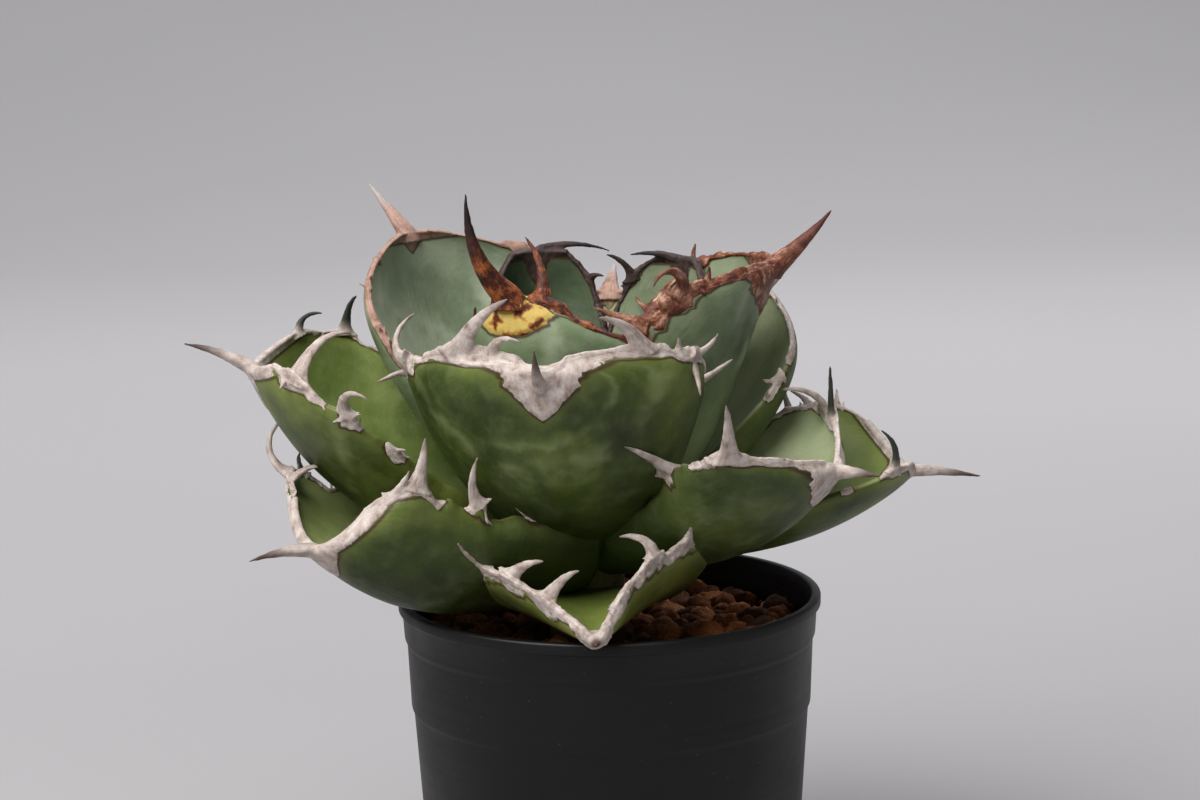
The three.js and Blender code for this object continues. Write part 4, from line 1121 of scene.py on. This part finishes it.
def grains_object(name, seed, count, sizes, height, subdivisions):
    """Loose grains over the soil, each with a tint between 0 and 1."""
    draw = np.random.default_rng(seed)
    corners, shape = grain_shape(subdivisions)
    rim = pot_bore(SOIL_TOP) - GRAIN_GAP
    vertices, faces, tint = [], [], []
    for point in scattered(draw, count, rim):
        size = sizes[0] + (sizes[1] - sizes[0]) * draw.random() ** 1.6
        low = size * 0.75
        room = rim - np.hypot(*point)
        if room < low:
            point = point * (1 - (low - room) / np.hypot(*point))
        made = grain(draw, corners) * size
        lift = height + draw.uniform(-0.3, 0.9)
        faces += [tuple(len(vertices) * len(corners) + k for k in face) for face in shape]
        vertices.append(made + (*point, min(lift, GRAIN_TOP - low)))
        shade = draw.random() ** 1.3
        tint.append(np.full(len(corners), 0.98 if draw.random() > 0.975 else shade * 0.82))
    return mesh_object(name, np.concatenate(vertices), faces, tint=np.concatenate(tint))


def soil_bed_object():
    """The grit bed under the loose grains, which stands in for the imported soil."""
    top = SOIL_TOP - 0.6
    profile = [(0, SOIL_FOOT)]
    profile += [(pot_bore(height) - SOIL_GAP, height) for height in (SOIL_FOOT, 20.0, 40.0, SOIL_TOP - 1.5)]
    profile += [(radius, top) for radius in (pot_bore(SOIL_TOP) - SOIL_GAP - 1.2, 24.0, 12.0, 0)]
    bed = lathe_object("soil_bed", profile, 72)
    keep_values(bed.data, tint=np.full(len(bed.data.vertices), 0.12))
    return bed


def stem_object():
    """The short stem, ringed with leaf scars."""
    profile = [(0, STEM_FOOT)]
    for height in np.linspace(STEM_FOOT, STEM_TOP, 60):
        taper = np.clip((height - STEM_SHOULDER) / (STEM_TOP - STEM_SHOULDER), 0, 1)
        radius = STEM_RADIUS + (STEM_TOP_RADIUS - STEM_RADIUS) * taper
        scar = 0.25 * abs(math.sin(height * 1.1))
        profile.append((radius - 0.1 - scar, height))
    profile.append((0, STEM_TOP))
    return lathe_object("stem_short", profile, 48, PLANT_AXIS)


def bud_object():
    profile = [(0, BUD_BASE)]
    for height in BUD_BASE + (BUD_TIP - BUD_BASE) * np.linspace(0, 1, 30):
        if height < BUD_SHOULDER:
            radius = BUD_RADIUS * (0.75 + 0.25 * (height - BUD_BASE) / (BUD_SHOULDER - BUD_BASE))
        else:
            up = (height - BUD_SHOULDER) / (BUD_TIP - BUD_SHOULDER)
            radius = BUD_RADIUS * (1 - up ** 1.8) + 0.9 * up
        profile.append((radius, height))
    profile.append((0, BUD_TIP))
    bud = lathe_object("bud_closed", profile, 40, PLANT_AXIS)
    height = np.array([vertex.co.z / MM for vertex in bud.data.vertices])
    none = np.zeros_like(height)
    along = np.clip((height - BUD_BASE) / (BUD_TIP - BUD_BASE), 0.3, 1)
    keep_values(bud.data, along=along, across=none, inner=none, to_edge=none + 9.0, to_cap=BUD_TIP - height,
                horned=none + 1.0)
    return bud


def bud_spine_object():
    lump = Lump()
    share = np.linspace(0, 1, BUD_SPINE_STEPS)
    up = np.tile([0.0, 0.0, 1.0], (BUD_SPINE_STEPS, 1))
    major = BUD_SPINE_RADIUS * (1 - share) + LEAST_HORN
    root = np.array([*PLANT_AXIS, BUD_TIP - 0.5])
    add_horn(lump, root, up, BUD_SPINE + 0.7, major, major * 0.9, np.array([1.0, 0.0, 0.0]), SPINE)
    return fused("bud_point", lump, BUD_SPINE_TRIANGLES)


def dress(piece, node, material):
    piece.data.materials.clear()
    piece.data.materials.append(material)
    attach(piece, "root")
    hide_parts(node)


horns = {name: horn_material(name) for name in HORNS}
for values in LEAVES:
    leaf = {**DEFAULTS, **values}
    dress(blade_object(leaf), f"blade_{leaf['name']}", skin_material(leaf))
    dress(rim_object(leaf), f"horn_{leaf['name']}", horns[leaf["horn"]])

dress(bud_object(), "bud", skin_material({**DEFAULTS, "name": "bud", "skin": "blue_green"}))
dress(bud_spine_object(), "bud_spine", horns["horn_mahogany"])
dress(pot_object(), "pot", pot_material())
dress(stem_object(), "stem", stem_material())
grit = grit_material()
dress(soil_bed_object(), "soil", grit)
dress(grains_object("soil_grains", 5, 290, (1.7, 3.8), SOIL_TOP, 3), "soil", grit)
dress(grains_object("soil_fines", 8, 900, (0.5, 1.1), SOIL_TOP - 0.2, 2), "soil", grit)


# Studio

def backdrop():
    """A pale floor that sweeps up behind the object, in millimetres."""
    sweep = 900.0
    back = 900.0
    high = 2600.0
    half = 3000.0
    turns = np.linspace(0, math.pi / 2, 24)[1:]
    section = [(-high, 0.0), (back, 0.0)]
    section += [(back + sweep * math.sin(a), sweep * (1 - math.cos(a))) for a in turns]
    section.append((back + sweep, high))
    vertices = [(x, y, z) for y, z in section for x in (-half, half)]
    faces = [(2 * i, 2 * i + 1, 2 * i + 3, 2 * i + 2) for i in range(len(section) - 1)]
    floor = mesh_object("studio_floor", vertices, faces)
    floor.data.materials.append(studio_material())


def soft_light(name, place, aim, size, power, colour):
    lamp = bpy.data.lights.new(name, "AREA")
    lamp.shape = "DISK"
    lamp.size = size
    lamp.energy = power
    lamp.color = colour
    light = in_scene(name, lamp)
    light.location = place
    light.rotation_mode = "QUATERNION"
    light.rotation_quaternion = (Vector(aim) - Vector(place)).to_track_quat("-Z", "Y")


def camera():
    lens = bpy.data.cameras.new("camera")
    lens.lens = LENS
    lens.sensor_width = SENSOR
    lens.clip_start = 0.01
    lens.clip_end = 20.0
    eye = in_scene("camera", lens)
    back = Vector((0.0, -math.cos(CAMERA_ELEVATION), math.sin(CAMERA_ELEVATION)))
    tilt = Matrix.Rotation(math.pi / 2 - CAMERA_ELEVATION, 4, "X")
    roll = Matrix.Rotation(-CAMERA_ROLL, 4, "Z")
    eye.matrix_world = Matrix.Translation(AIM + back * CAMERA_DISTANCE) @ tilt @ roll
    bpy.context.scene.camera = eye


backdrop()
soft_light("key", (-0.42, -0.5, 0.92), (0.0, 0.0, 0.09), 0.85, 17.0, (1.0, 0.99, 0.97))
soft_light("rim", (0.35, 0.7, 0.85), (0.0, 0.0, 0.1), 0.6, 4.0, (0.98, 0.99, 1.0))
soft_light("wall", (0.0, 0.9, 2.2), (0.0, 1.9, 0.4), 1.6, 6.8, (0.99, 0.99, 1.0))
world = bpy.data.worlds.new("studio")
world.use_nodes = True
sky = world.node_tree.nodes["Background"]
sky.inputs["Color"].default_value = (0.93, 0.95, 1.0, 1.0)
sky.inputs["Strength"].default_value = 0.21
bpy.context.scene.world = world
bpy.context.scene.view_settings.view_transform = "Standard"
camera()
